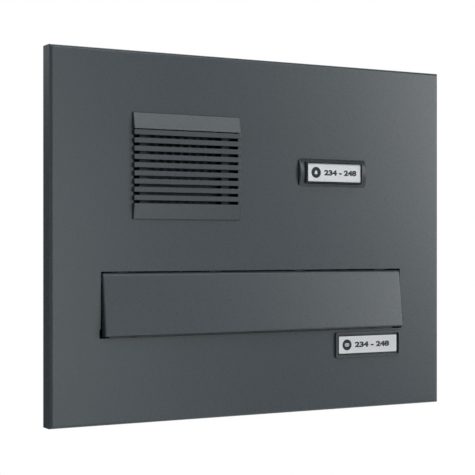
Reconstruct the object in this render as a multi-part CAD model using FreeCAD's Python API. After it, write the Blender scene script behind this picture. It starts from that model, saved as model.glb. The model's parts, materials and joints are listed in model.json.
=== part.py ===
import FreeCAD, Part

# A through-wall mailbox. A folded front plate carries a speech grille, a bell push, a letter flap and a name
# plate. Behind the flap a telescopic sleeve runs through the wall to a locked door on the inside, where the
# mail is taken out. Behind the grille and the bell a shallow box takes the intercom parts.
#
# Frame, in mm: the wall's face is y = 0, the front of the plate faces -Y, +X is to the right seen from the
# front, +Z is up, and the origin is the middle of the plate on the wall's face.

import math
import os

from FreeCAD import Vector

# ---------------------------------------------------------------- front plate
PLATE_W = 450.0
PLATE_H = 360.0
PLATE_D = 18.0  # depth of the folded edges, from the wall to the front face
PLATE_T = 2.0
PLATE_BEND_R = 3.0  # outside radius of the folds
PLATE_MARGIN_IN = 5.0  # from the plate's side edges to whatever stands inside its folds

# ---------------------------------------------------------------- shared sheet, fits and fixings
TRIM_T = 1.2  # sheet of the flap, the grille and the sleeves
BRACKET_T = 1.5
RUN_FIT = 0.05  # radial clearance of a turning or sliding fit
LOOSE_FIT = 0.3  # clearance each side of a part that passes through a hole
GASKET_T = 1.0
FLANGE_W = 12.0  # width of the turned-out flanges that bolt to the back of the plate
STUD_R = 2.0
STUD_LENGTH = 10.0
NUT_H = 3.2
NUT_AF = 7.0  # across flats

# ---------------------------------------------------------------- letter flap and its hinge
FLAP_SIDE_MARGIN = 52.5  # from the plate's side edges
FLAP_BOTTOM_MARGIN = 84.2  # from the plate's lower edge
FLAP_H = 61.3
FLAP_GAP = 1.2  # all round, between the flap and its cut-out
FLAP_LEAN = 6.7  # degrees that the closed flap leans out from the wall
FLAP_PROUD = 1.75  # how far the top of the flap stands in front of the plate
FLAP_HEM = 8.6  # depth of the fold along the lower edge
FLAP_PIN_R = 1.8
CURL_TAIL = 0.5  # how far behind the pin's centre the lower quarter of the curl begins
RELIEF_W = 1.5  # the cut-out's relief notches at its lower corners
RELIEF_H = 9.0
ARM_OFFSETS = (-0.435, -0.145, 0.145, 0.435)  # hinge arms, as shares of the flap's width
ARM_W = 12.0
ARM_H = 2.4
ARM_STAND_OFF = 3.1  # from the pin's centre to the upright of the arm, clear of the curl
ARM_NOTCH_GAP = 1.0
ARM_CURL_SHARE = 56.0  # degrees of curl that are left over an arm, so that the flap can swing
FLAP_FOLD_R = 1.6
SILL_RISE = 9.0  # how far the rain sill stands above and reaches below the edge of the cut-out
SILL_SIDE_GAP = 8.7
SILL_LEDGE = 10.0
BUMPER_R = 4.0
BUMPER_GAP = 0.2
BUMPER_DROP = 1.0  # how far the buttons reach below the flap's lower edge
BUMPER_OFFSETS = (-0.4, 0.0, 0.4)

# ---------------------------------------------------------------- speech grille
GRILLE_LEFT_MARGIN = 84.0
GRILLE_TOP_MARGIN = 59.8
GRILLE_W = 117.0
HOOD_H = 15.8
APRON_H = 15.3
SLAT_COUNT = 9
SLAT_DROP = 1.0  # from the hood's lip to the first slat
SLAT_PITCH = 7.9
SLAT_FACE_H = 4.9
SLAT_PROUD = 4.5
HOOD_PROUD_TOP = 2.0
HOOD_PROUD_LIP = 5.0
HOOD_FOLD_R = 0.8
SLAT_FOLD_R = 0.5
SLAT_HOLE_LAP = 1.0  # how far the slats run past the edge of the plate's hole
HOLE_END_LAP = 3.0  # how far the hood and the apron run past its ends
RAIL_OFFSET = 45.0
RAIL_W = 8.0
RAIL_D = 7.0
RAIL_FRONT = 3.0  # behind the back of the plate
RAIL_FOOT = 10.0
GRILLE_STUD_R = 1.5
GRILLE_NUT_H = 2.4
GRILLE_NUT_AF = 5.5
SCREEN_T = 0.5
SCREEN_HOLE_R = 3.2
SCREEN_PITCH = 9.0
SCREEN_MARGIN = 2.0

# ---------------------------------------------------------------- intercom parts
SPACER_H = 5.6
SPACER_R = 3.5
INTERCOM_PLATE_LAP = 8.0
SPEAKER_R = 38.0
SPEAKER_HOLE_R = 33.0
SPEAKER_RIM_T = 1.5
BASKET_D = 16.5
MAGNET_R = 20.0
MAGNET_D = 11.0
CONE_D = 10.3
CONE_THROAT_R = 8.0
CONE_T = 0.8
MIC_R = 5.0
MIC_COLLAR_R = 7.0
MIC_LENGTH = 10.0
MIC_OFFSET_X = 40.0
MIC_OFFSET_Z = -38.0

# ---------------------------------------------------------------- function box
FBOX_SIDE_MARGIN = 63.0
FBOX_TOP_MARGIN = 42.0
FBOX_ABOVE_SLEEVE = 30.0
FBOX_DEPTH_IN_WALL = 34.0
FBOX_FLANGE_W = 10.0
GROMMET_BORE_R = 4.0
GROMMET_NECK_R = 10.0
GROMMET_FLANGE_R = 12.5
GROMMET_FLANGE_T = 2.0
GROMMET_FROM_RIGHT = 165.0
GROMMET_FROM_TOP = 80.0

# ---------------------------------------------------------------- bell push
BELL_FROM_RIGHT = 138.2
BELL_FROM_TOP = 112.8
BEZEL_END_LAP = 4.0  # how far the bezel runs past its neck at the ends
BEZEL_SIDE_LAP = 1.3  # and above and below it
BEZEL_RISE = 4.0
BEZEL_EDGE_R = 0.5
BEZEL_SLIT = 1.0  # open slit in the plate at each end of the bezel
CAP_W = 69.4
CAP_H = 22.4
CAP_CORNER_R = 1.5
CAP_PROUD = 6.2
CAP_WALL = 1.2
CAP_FACE_T = 1.5
CAP_EDGE_R = 0.7
CAP_SKIRT = 9.2
BELL_LABEL_INSET = 1.7  # from the cap's edges
LABEL_T = 0.4
CARRIER_T = 2.0
NECK_WALL = 1.5
NECK_DEPTH = 8.0
BASE_WALL = 2.0
BASE_LIP = 5.5
BASE_SIDE_LIP = 5.5
POST_R = 1.5
POST_FROM_CAP_END = 8.7
POST_TAIL = 3.5
STEM_R = 2.0
STEM_GAP = 0.3
BELL_TRAVEL = 1.5
SPRING_WIRE = 1.2
CLIP_T = 0.8
CLIP_R = 3.0
BELL_SCREW_R = 1.25
BELL_SCREW_FROM_NECK = 2.1
BELL_SCREW_GRIP = 1.5
BELL_HEAD_R = 2.4
BELL_HEAD_H = 1.6
BOARD_W = 56.0
BOARD_H = 20.0
BOARD_T = 1.6
BOARD_STAND_OFF = 4.0
STAND_OFF_R = 2.2
STAND_OFF_X = 18.0
SWITCH_SIZE = 12.0
SWITCH_T = 3.0
NUB_R = 1.75
NUB_H = 0.8
TERMINAL_W = 14.0
TERMINAL_H = 9.0
TERMINAL_D = 8.0
TERMINAL_SCREW_R = 2.0
TERMINAL_SCREW_H = 0.6
WIRE_HOLE_R = 1.3
WIRE_HOLE_DEPTH = 6.0

# ---------------------------------------------------------------- name plate
NAME_W = 82.0
NAME_H = 26.7
NAME_BELOW_FLAP = 3.8
NAME_BASE_T = 1.0
NAME_RING_W = 2.0
NAME_RING_H = 2.6
NAME_CORNER_R = 2.5
NAME_EDGE_R = 0.5
NAME_GROOVE = 1.4
NAME_GROOVE_DEPTH = 0.5
NAME_WINDOW_T = 1.0
NAME_WINDOW_EDGE_R = 0.3
NAME_LABEL_INSET = 0.3
PEG_R = 1.5
PEG_OFFSET = 30.0
PEG_LENGTH = 5.0
PEG_CLIP_R = 4.0
PEG_CLIP_T = 0.8

# ---------------------------------------------------------------- sleeves through the wall
SLEEVE_SIDE_LAP = 4.5  # the sleeve is this much wider than the flap each side
SLEEVE_ABOVE_FLAP = 8.5
SLEEVE_H = 110.0
FRONT_SLEEVE_END = 84.0  # depth in the wall
REAR_SLEEVE_START = 2.0
REAR_SLEEVE_END = 88.0
SLEEVE_FIT = 0.4
SLEEVE_TRAVEL = 60.0
CLAMP_R = 2.0
CLAMP_HEAD_R = 4.0
CLAMP_HEAD_H = 2.5
CLAMP_FROM_END = 8.0
CLAMP_OFFSET = 100.0
CLAMP_SLOT_GAP = 0.3
CLAMP_GRIP = 1.2

# ---------------------------------------------------------------- rear frame and door
FRAME_LAP = 8.4  # the frame covers the edge of the hole in the wall
FRAME_RIM = 10.6  # and stands this far into the door's opening
DOOR_LAP = 7.0
DOOR_GAP = 0.5
DOOR_RETURN = 2.5
HINGE_AXIS_OUT = 6.0  # outside the door's edge
HINGE_AXIS_BACK = 3.7  # behind the frame
KNUCKLE_R = 3.2
KNUCKLE_L = 10.0
KNUCKLE_GAP = 0.4
HINGE_PIN_R = 2.0
HINGE_FROM_END = 24.0
HINGE_LEAF_T = 1.2
HINGE_LEAF_W = 16.0
SEAL_W = 4.0
SEAL_GAP = 0.1

# ---------------------------------------------------------------- cam lock
LOCK_FROM_EDGE = 25.0
LOCK_BARREL_R = 9.0
LOCK_BARREL_L = 7.0
LOCK_FLANGE_R = 12.0
LOCK_FLANGE_T = 2.5
LOCK_NUT_H = 3.0
LOCK_NUT_AF = 22.0
PLUG_R = 6.0
PLUG_PROUD = 0.4
CAM_T = 2.0
CAM_W = 12.0
CAM_REACH = 24.5
CAM_HUB_REACH = 10.0
CAM_TO_FRAME = 0.5
CAM_SCREW_R = 2.0
CAM_HEAD_R = 4.0
CAM_HEAD_H = 2.0
KEY_T = 2.0
KEY_BLADE_H = 6.4
KEY_FIT = 0.1
KEY_BLADE_L = 9.0
KEY_BOW_R = 11.0
KEY_BOW_HOLE_R = 3.0
KEY_SHOULDER = 3.0

# ---------------------------------------------------------------- fixing to the wall
WALL_END_MARGIN = 20.0  # the wall screws, from the plate's upper and lower edges
WALL_HOLE_R = 3.25
WALL_BRACKET_CLEAR = 3.0  # between the lower brackets and the front sleeve's flange
WALL_RAIL_T = 2.0
WALL_RAIL_H = 26.0
HOOK_LIP_Y = 7.0  # middle of the wall rail's lip, in front of the wall
HOOK_LEG_DROP = 8.0
HOOK_CLEAR = 0.6
HOOK_STRIP_H = 26.0
LOCK_SCREW_R = 2.5
LOCK_SCREW_HEAD_R = 4.5
LOCK_SCREW_L = 10.0
LOCK_SCREW_Y = 8.0
BOTTOM_LEG = 14.0

# ---------------------------------------------------------------- places worked out from the sizes above
LEFT = -PLATE_W / 2
RIGHT = PLATE_W / 2
TOP = PLATE_H / 2
BOTTOM = -PLATE_H / 2
FRONT = -PLATE_D
BACK = FRONT + PLATE_T

FLAP_W = PLATE_W - 2 * FLAP_SIDE_MARGIN
FLAP_BOTTOM_Z = BOTTOM + FLAP_BOTTOM_MARGIN
FLAP_TOP_Z = FLAP_BOTTOM_Z + FLAP_H
CURL_IN = FLAP_PIN_R + RUN_FIT
CURL_OUT = CURL_IN + TRIM_T
FLAP_PIN_Y = FRONT - FLAP_PROUD + CURL_OUT
FLAP_PIN_Z = FLAP_TOP_Z - CURL_OUT
LEAN_SIN = math.sin(math.radians(FLAP_LEAN))
LEAN_COS = math.cos(math.radians(FLAP_LEAN))
HEM_END = FLAP_HEM - CURL_OUT
FLAP_LENGTH = (FLAP_H - CURL_OUT - HEM_END * LEAN_SIN) / LEAN_COS
HEM_REAR_Y = FLAP_PIN_Y + HEM_END * LEAN_COS - FLAP_LENGTH * LEAN_SIN
CUT_BOTTOM = FLAP_BOTTOM_Z - FLAP_GAP
CUT_TOP = FLAP_TOP_Z + FLAP_GAP
SILL_FRONT = BACK + TRIM_T

GRILLE_CX = LEFT + GRILLE_LEFT_MARGIN + GRILLE_W / 2
GRILLE_TOP = TOP - GRILLE_TOP_MARGIN
SLATS_TOP = GRILLE_TOP - HOOD_H
SLATS_BOTTOM = SLATS_TOP - SLAT_DROP - SLAT_COUNT * SLAT_PITCH
GRILLE_BOTTOM = SLATS_BOTTOM - APRON_H
GRILLE_CZ = (GRILLE_TOP + GRILLE_BOTTOM) / 2
HOLE_TOP = GRILLE_TOP - HOLE_END_LAP
HOLE_BOTTOM = GRILLE_BOTTOM + HOLE_END_LAP
RAIL_Y0 = BACK + RAIL_FRONT
RAIL_Y1 = RAIL_Y0 + RAIL_D
FOOT_GAP = LOOSE_FIT
STUD_ROWS = (HOLE_BOTTOM - FOOT_GAP - RAIL_FOOT / 2, HOLE_TOP + FOOT_GAP + RAIL_FOOT / 2)
SPACER_Y0 = RAIL_Y1 + GRILLE_NUT_H
ICOM_Y0 = SPACER_Y0 + SPACER_H
ICOM_Y1 = ICOM_Y0 + BRACKET_T

SLEEVE_W = FLAP_W + 2 * SLEEVE_SIDE_LAP
WALL_RAIL_END = RIGHT - PLATE_MARGIN_IN
WALL_BRACKET_X = SLEEVE_W / 2 + FLANGE_W + WALL_BRACKET_CLEAR
WALL_SCREW_X = (WALL_BRACKET_X + WALL_RAIL_END) / 2
SLEEVE_TOP = FLAP_TOP_Z + SLEEVE_ABOVE_FLAP
SLEEVE_BOTTOM = SLEEVE_TOP - SLEEVE_H
SLEEVE_CZ = (SLEEVE_TOP + SLEEVE_BOTTOM) / 2
FLANGE_Y = BACK + GASKET_T
REAR_GROW = SLEEVE_FIT + TRIM_T
REAR_W = SLEEVE_W + 2 * REAR_GROW
REAR_TOP = SLEEVE_TOP + REAR_GROW
REAR_BOTTOM = SLEEVE_BOTTOM - REAR_GROW
CLAMP_Y = FRONT_SLEEVE_END - CLAMP_FROM_END

FBOX_W = PLATE_W - 2 * FBOX_SIDE_MARGIN
FBOX_TOP = TOP - FBOX_TOP_MARGIN
FBOX_BOTTOM = SLEEVE_TOP + FBOX_ABOVE_SLEEVE
FBOX_CZ = (FBOX_TOP + FBOX_BOTTOM) / 2
FBOX_H = FBOX_TOP - FBOX_BOTTOM
GROMMET_X = RIGHT - GROMMET_FROM_RIGHT
GROMMET_Z = TOP - GROMMET_FROM_TOP

BELL_X = RIGHT - BELL_FROM_RIGHT
BELL_Z = TOP - BELL_FROM_TOP
CAP_FRONT = FRONT - CAP_PROUD
POST_OFFSET = CAP_W / 2 - POST_FROM_CAP_END
WELL_W = CAP_W + 2 * LOOSE_FIT
WELL_H = CAP_H + 2 * LOOSE_FIT
NECK_W = WELL_W + 2 * NECK_WALL
NECK_H = WELL_H + 2 * NECK_WALL
NECK_END = FRONT + NECK_DEPTH
BEZEL_W = NECK_W + 2 * BEZEL_END_LAP
BEZEL_H = NECK_H + 2 * BEZEL_SIDE_LAP
BELL_SCREW_OFFSET = NECK_W / 2 + BELL_SCREW_FROM_NECK
FLOOR_END = NECK_END + BASE_WALL
CARRIER_Y0 = CAP_FRONT + CAP_FACE_T + LABEL_T
CARRIER_Y1 = CARRIER_Y0 + CARRIER_T
BOARD_Y = FLOOR_END + BOARD_STAND_OFF
SWITCH_Y = BOARD_Y - SWITCH_T
NUB_Y = SWITCH_Y - NUB_H
STEM_END = NUB_Y - STEM_GAP - BELL_TRAVEL

NAME_X = FLAP_W / 2 - NAME_W / 2
NAME_Z = FLAP_BOTTOM_Z - NAME_BELOW_FLAP - NAME_H / 2
BED_W = NAME_W - 2 * (NAME_RING_W + NAME_GROOVE)
BED_H = NAME_H - 2 * (NAME_RING_W + NAME_GROOVE)
NAME_BED_Y = FRONT - NAME_BASE_T

FRAME_W = REAR_W + 2 * FRAME_LAP
FRAME_TOP = REAR_TOP + FRAME_LAP
FRAME_BOTTOM = REAR_BOTTOM - FRAME_LAP
FRAME_Y1 = REAR_SLEEVE_END + BRACKET_T
OPEN_W = REAR_W - 2 * FRAME_RIM
OPEN_TOP = REAR_TOP - FRAME_RIM
OPEN_BOTTOM = REAR_BOTTOM + FRAME_RIM
DOOR_W = OPEN_W + 2 * DOOR_LAP
DOOR_TOP = OPEN_TOP + DOOR_LAP
DOOR_BOTTOM = OPEN_BOTTOM - DOOR_LAP
DOOR_Y0 = FRAME_Y1 + DOOR_GAP
DOOR_Y1 = DOOR_Y0 + DOOR_RETURN
DOOR_SKIN_Y = DOOR_Y1 - BRACKET_T
HINGE_X = -DOOR_W / 2 - HINGE_AXIS_OUT
HINGE_Y = FRAME_Y1 + HINGE_AXIS_BACK
HINGE_ROWS = (DOOR_BOTTOM + HINGE_FROM_END, DOOR_TOP - HINGE_FROM_END)

LOCK_X = DOOR_W / 2 - LOCK_FROM_EDGE
LOCK_Z = SLEEVE_CZ
BARREL_Y0 = DOOR_SKIN_Y - LOCK_BARREL_L
CAM_TIP_Y1 = REAR_SLEEVE_END - CAM_TO_FRAME
CAM_HUB_Y1 = BARREL_Y0
CAM_HUB_Y0 = CAM_HUB_Y1 - CAM_T
LOCK_FACE_Y = DOOR_Y1 + LOCK_FLANGE_T
PLUG_Y1 = LOCK_FACE_Y + PLUG_PROUD


# ---------------------------------------------------------------- shapes
def block(x0, x1, y0, y1, z0, z1):
    """Box between two corners."""
    return Part.makeBox(x1 - x0, y1 - y0, z1 - z0, Vector(x0, y0, z0))


def slab(cx, width, y0, y1, cz, height):
    """Box centred at (cx, cz), from y0 to y1."""
    return block(cx - width / 2, cx + width / 2, y0, y1, cz - height / 2, cz + height / 2)


def rounded_slab(cx, width, y0, y1, cz, height, radius):
    """Slab whose four edges along Y are rounded."""
    body = slab(cx, width, y0, y1, cz, height)
    edges = [e for e in body.Edges if abs(e.tangentAt(e.FirstParameter).y) > 0.5]
    return body.makeFillet(radius, edges)


def rod_x(x0, x1, y, z, radius):
    """Cylinder along X."""
    return Part.makeCylinder(radius, x1 - x0, Vector(x0, y, z), Vector(1, 0, 0))


def rod_y(x, z, y0, y1, radius):
    """Cylinder along Y."""
    return Part.makeCylinder(radius, y1 - y0, Vector(x, y0, z), Vector(0, 1, 0))


def rod_z(x, y, z0, z1, radius):
    """Cylinder along Z."""
    return Part.makeCylinder(radius, z1 - z0, Vector(x, y, z0), Vector(0, 0, 1))


def ring_y(x, z, y0, y1, outer, inner):
    """Tube along Y."""
    return rod_y(x, z, y0, y1, outer).cut(rod_y(x, z, y0, y1, inner))


def prism_x(points, x0, x1):
    """Outline of (y, z) points, drawn along X."""
    wire = Part.makePolygon([Vector(x0, y, z) for y, z in points + points[:1]])
    return Part.Face(wire).extrude(Vector(x1 - x0, 0, 0))


def front_eased(body, radius):
    """The body with the edges of its foremost face rounded."""
    front = body.BoundBox.YMin
    edges = [e for e in body.Edges if all(abs(v.Y - front) < RUN_FIT for v in e.Vertexes)]
    return body.makeFillet(radius, edges)


def hex_y(x, z, y0, y1, across_flats, bore):
    """Hexagon nut along Y."""
    corner = across_flats / math.sqrt(3)
    turns = [math.radians(60 * i) for i in range(7)]
    wire = Part.makePolygon([Vector(x + corner * math.cos(t), y0, z + corner * math.sin(t)) for t in turns])
    return Part.Face(wire).extrude(Vector(0, y1 - y0, 0)).cut(rod_y(x, z, y0, y1, bore))


def turned_y(x, z, profile):
    """Solid turned about a Y axis at (x, z) from (radius, y) points."""
    wire = Part.makePolygon([Vector(x + r, y, z) for r, y in profile + profile[:1]])
    return Part.Face(wire).revolve(Vector(x, 0, z), Vector(0, 1, 0), 360)


def joined(shapes):
    """One solid from shapes that touch or overlap."""
    first, *rest = shapes
    return first.multiFuse(rest).removeSplitter() if rest else first


def without(body, tools):
    """The body with every tool cut away."""
    return body.cut(tools)


def group(solids):
    """Several separate solids in one node."""
    return Part.makeCompound(solids)


# ---------------------------------------------------------------- front plate
def front_plate():
    """Folded sheet with four returns, and the cut-outs for everything that it carries."""
    outer = front_eased(block(LEFT, RIGHT, FRONT, 0, BOTTOM, TOP), PLATE_BEND_R)
    inner = block(LEFT + PLATE_T, RIGHT - PLATE_T, BACK, 0, BOTTOM + PLATE_T, TOP - PLATE_T)
    inner = front_eased(inner, PLATE_BEND_R - PLATE_T)
    fittings = grille_cutout() + bell_cutout() + peg_holes() + lock_screw_holes()
    return without(outer, [inner] + flap_cutout() + fittings)


def flap_cutout():
    """Hole that the flap fills, with relief notches at its lower corners."""
    width = FLAP_W + 2 * FLAP_GAP
    hole = block(-width / 2, width / 2, FRONT, BACK, CUT_BOTTOM, CUT_TOP)
    relief_w = width + 2 * RELIEF_W
    return [hole, block(-relief_w / 2, relief_w / 2, FRONT, BACK, CUT_BOTTOM, CUT_BOTTOM + RELIEF_H)]


def grille_cutout():
    """Hole behind the slats."""
    half = GRILLE_W / 2 - SLAT_HOLE_LAP
    return [block(GRILLE_CX - half, GRILLE_CX + half, FRONT, BACK, HOLE_BOTTOM, HOLE_TOP)]


def bell_cutout():
    """Hole for the neck of the bezel, its two screw holes, and the slits at its ends."""
    neck = slab(BELL_X, NECK_W + LOOSE_FIT, FRONT, BACK, BELL_Z, NECK_H + LOOSE_FIT)
    screws = [rod_y(x, BELL_Z, FRONT, BACK, BELL_SCREW_R + LOOSE_FIT / 2) for x in bell_screw_places()]
    offset = (BEZEL_W + BEZEL_SLIT) / 2
    slits = [slab(BELL_X + dx, BEZEL_SLIT, FRONT, BACK, BELL_Z, NECK_H) for dx in (-offset, offset)]
    return [neck] + screws + slits


def peg_holes():
    """Holes for the pegs of the name plate's frame."""
    return [rod_y(x, NAME_Z, FRONT, BACK, PEG_R + LOOSE_FIT / 2) for x in peg_places()]


def lock_screw_holes():
    """Countersunk holes in the lower return."""
    return [lock_screw(x, LOOSE_FIT / 2) for x in (-WALL_SCREW_X, WALL_SCREW_X)]


def lock_screw(x, grow):
    """Countersunk screw that points up, larger by grow when it is used as a cutter."""
    head_h = LOCK_SCREW_HEAD_R - LOCK_SCREW_R
    tip = Vector(x, -LOCK_SCREW_Y, BOTTOM)
    head = Part.makeCone(LOCK_SCREW_HEAD_R + grow, LOCK_SCREW_R + grow, head_h, tip, Vector(0, 0, 1))
    shank = rod_z(x, -LOCK_SCREW_Y, BOTTOM, BOTTOM + LOCK_SCREW_L, LOCK_SCREW_R + grow)
    return joined([head, shank])


def plate_lock_screws():
    """Two screws that hold the plate's lower return to the wall brackets."""
    return group([lock_screw(x, 0) for x in (-WALL_SCREW_X, WALL_SCREW_X)])


# ---------------------------------------------------------------- rails that hold the plate to the wall
def wall_holes(z):
    """Cutters for the two wall screws in one row."""
    return [rod_y(x, z, -WALL_RAIL_T, 0, WALL_HOLE_R) for x in (-WALL_SCREW_X, WALL_SCREW_X)]


def wall_rail_top():
    """Z-shaped rail: a web on the wall, a leg and an upturned lip that the plate hooks over."""
    half = WALL_RAIL_END
    lip_top = TOP - PLATE_T - 2 * WALL_RAIL_T
    leg_z = lip_top - HOOK_LEG_DROP
    web = block(-half, half, -WALL_RAIL_T, 0, leg_z - WALL_RAIL_H + HOOK_LEG_DROP, leg_z)
    leg = block(-half, half, -HOOK_LIP_Y - WALL_RAIL_T / 2, 0, leg_z, leg_z + WALL_RAIL_T)
    lip_y = -HOOK_LIP_Y - WALL_RAIL_T / 2
    lip = block(-half, half, lip_y, lip_y + WALL_RAIL_T, leg_z, lip_top)
    return without(joined([web, leg, lip]), wall_holes(TOP - WALL_END_MARGIN))


def hook_rail():
    """Strip welded behind the plate, with a leg and a downturned lip that hooks over the wall rail."""
    half = WALL_RAIL_END
    leg_z = TOP - PLATE_T - 2 * WALL_RAIL_T
    lip_y = -HOOK_LIP_Y + WALL_RAIL_T / 2 + HOOK_CLEAR
    strip = block(-half, half, BACK, BACK + BRACKET_T, leg_z + BRACKET_T - HOOK_STRIP_H, leg_z + BRACKET_T)
    leg = block(-half, half, BACK, lip_y + BRACKET_T, leg_z, leg_z + BRACKET_T)
    lip_bottom = leg_z - HOOK_LEG_DROP + WALL_RAIL_T + HOOK_CLEAR
    lip = block(-half, half, lip_y, lip_y + BRACKET_T, lip_bottom, leg_z + BRACKET_T)
    return joined([strip, leg, lip])


def wall_bracket(sign):
    """Angle on the wall in one lower corner; its leg lies on the lower return and takes a lock screw."""
    x0, x1 = sorted((sign * WALL_BRACKET_X, sign * WALL_RAIL_END))
    low = BOTTOM + PLATE_T
    web = block(x0, x1, -WALL_RAIL_T, 0, low, low + WALL_RAIL_H)
    leg = block(x0, x1, -BOTTOM_LEG, 0, low, low + WALL_RAIL_T)
    screw = rod_z(sign * WALL_SCREW_X, -LOCK_SCREW_Y, low, low + WALL_RAIL_T, LOCK_SCREW_R)
    return without(joined([web, leg]), wall_holes(BOTTOM + WALL_END_MARGIN) + [screw])


def wall_brackets():
    """The two lower brackets, beside the front sleeve's flange."""
    return group([wall_bracket(-1), wall_bracket(1)])


# ---------------------------------------------------------------- studs and nuts behind the plate
def sleeve_stud_places():
    """Studs in the middle of the sleeve's flange."""
    x_side = SLEEVE_W / 2 + FLANGE_W / 2
    quarter = SLEEVE_H / 4
    z_top = SLEEVE_TOP + FLANGE_W / 2
    z_bottom = SLEEVE_BOTTOM - FLANGE_W / 2
    sides = [(x, SLEEVE_CZ + dz) for x in (-x_side, x_side) for dz in (-quarter, quarter)]
    ends = [(x, z) for x in (-SLEEVE_W / 4, SLEEVE_W / 4) for z in (z_bottom, z_top)]
    return sides + ends


def fbox_stud_places():
    """Studs in the middle of the function box's flange."""
    x_side = FBOX_W / 2 + FBOX_FLANGE_W / 2
    quarter = FBOX_H / 4
    z_top = FBOX_TOP + FBOX_FLANGE_W / 2
    z_bottom = FBOX_BOTTOM - FBOX_FLANGE_W / 2
    sides = [(x, FBOX_CZ + dz) for x in (-x_side, x_side) for dz in (-quarter, quarter)]
    return sides + [(0, z_top), (0, z_bottom)]


def stud_places():
    """All the M4 weld studs."""
    return sleeve_stud_places() + fbox_stud_places()


def weld_studs():
    """M4 studs welded to the back of the plate."""
    return group([rod_y(x, z, BACK, BACK + STUD_LENGTH, STUD_R) for x, z in stud_places()])


def stud_nuts():
    """Their nuts, on the flanges."""
    y0 = FLANGE_Y + TRIM_T
    return group([hex_y(x, z, y0, y0 + NUT_H, NUT_AF, STUD_R) for x, z in stud_places()])


def stud_holes(places, y0, y1):
    """Cutters for the stud holes of a flange or a gasket."""
    return [rod_y(x, z, y0, y1, STUD_R + LOOSE_FIT) for x, z in places]


def flange(width, height, cz, lap, y0, y1, places):
    """Flat rectangular ring with stud holes: its inner edge is width by height."""
    ring = slab(0, width + 2 * lap, y0, y1, cz, height + 2 * lap)
    return without(ring, [slab(0, width, y0, y1, cz, height)] + stud_holes(places, y0, y1))


# ---------------------------------------------------------------- speech grille
def hood_piece(z_plate, z_lip, proud_plate, proud_lip):
    """Folded sheet with closed ends, open towards the slats, and two tabs that reach back to the rails."""
    x0 = GRILLE_CX - GRILLE_W / 2
    x1 = GRILLE_CX + GRILLE_W / 2
    step = TRIM_T if z_plate > z_lip else -TRIM_T
    cheek = [(FRONT, z_plate), (FRONT - proud_plate, z_plate), (FRONT - proud_lip, z_lip), (FRONT, z_lip)]
    body = prism_x(cheek, x0, x1)
    front = [e for e in body.Edges if all(v.Y < FRONT - RUN_FIT for v in e.Vertexes)]
    folds = [e for e in front if any(abs(v.Z - z_lip) > RUN_FIT for v in e.Vertexes)]
    body = body.makeFillet(HOOD_FOLD_R, folds)
    slope = (proud_lip - proud_plate) / (z_lip - z_plate)
    top = z_plate - step
    past = z_lip - step
    hollow = [
        (FRONT, top),
        (FRONT - proud_plate - slope * (top - z_plate) + TRIM_T, top),
        (FRONT - proud_plate - slope * (past - z_plate) + TRIM_T, past),
        (FRONT, past),
    ]
    body = body.cut(prism_x(hollow, x0 + TRIM_T, x1 - TRIM_T))
    tab_z = (z_plate + z_lip) / 2
    tab_y = FRONT - (proud_plate + proud_lip) / 2 + TRIM_T / 2
    tabs = [slab(GRILLE_CX + dx, RAIL_W / 2, tab_y, RAIL_Y0, tab_z, TRIM_T)
            for dx in (-RAIL_OFFSET, RAIL_OFFSET)]
    return joined([body] + tabs)


def grille_hood():
    """Rain hood over the slats: it slopes out towards its lower lip."""
    return hood_piece(GRILLE_TOP, SLATS_TOP, HOOD_PROUD_TOP, HOOD_PROUD_LIP)


def grille_apron():
    """Apron below the slats: it slopes back towards the plate."""
    return hood_piece(GRILLE_BOTTOM, SLATS_BOTTOM, HOOD_PROUD_TOP, SLAT_PROUD)


def slat(index):
    """Angle-section slat: an upright face, and a leaf that runs back through the hole to the rails."""
    z_top = SLATS_TOP - SLAT_DROP - index * SLAT_PITCH
    face_y = FRONT - SLAT_PROUD
    leaf_w = GRILLE_W - 2 * (SLAT_HOLE_LAP + LOOSE_FIT)
    face = slab(GRILLE_CX, GRILLE_W, face_y, face_y + TRIM_T, z_top - SLAT_FACE_H / 2, SLAT_FACE_H)
    face = front_eased(face, SLAT_FOLD_R)
    leaf = slab(GRILLE_CX, leaf_w, face_y, RAIL_Y0, z_top - TRIM_T / 2, TRIM_T)
    return joined([face, leaf])


def grille_slats():
    """All the slats."""
    return group([slat(i) for i in range(SLAT_COUNT)])


def grille_stud_places():
    """Four small studs at the feet of the grille's rails."""
    return [(GRILLE_CX + dx, z) for dx in (-RAIL_OFFSET, RAIL_OFFSET) for z in STUD_ROWS]


def grille_rails():
    """Two upright rails behind the slats, with feet on the back of the plate."""
    rails = []
    for dx in (-RAIL_OFFSET, RAIL_OFFSET):
        x = GRILLE_CX + dx
        low, high = STUD_ROWS
        bar = slab(x, RAIL_W, RAIL_Y0, RAIL_Y1, (low + high) / 2, high - low + RAIL_FOOT)
        feet = [slab(x, RAIL_W, BACK, RAIL_Y1, z, RAIL_FOOT) for z in STUD_ROWS]
        holes = [rod_y(x, z, BACK, RAIL_Y1, GRILLE_STUD_R + LOOSE_FIT / 2) for z in STUD_ROWS]
        rails.append(without(joined([bar] + feet), holes))
    return group(rails)


def grille_studs():
    """M3 studs that carry the rails and the intercom bracket."""
    length = ICOM_Y1 + GRILLE_NUT_H + GRILLE_STUD_R
    return group([rod_y(x, z, BACK, length, GRILLE_STUD_R) for x, z in grille_stud_places()])


def grille_nuts():
    """A nut on the rail and a nut on the bracket, at each stud."""
    rows = (RAIL_Y1, ICOM_Y1)
    places = [(x, z, y) for x, z in grille_stud_places() for y in rows]
    return group([hex_y(x, z, y, y + GRILLE_NUT_H, GRILLE_NUT_AF, GRILLE_STUD_R) for x, z, y in places])


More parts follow.
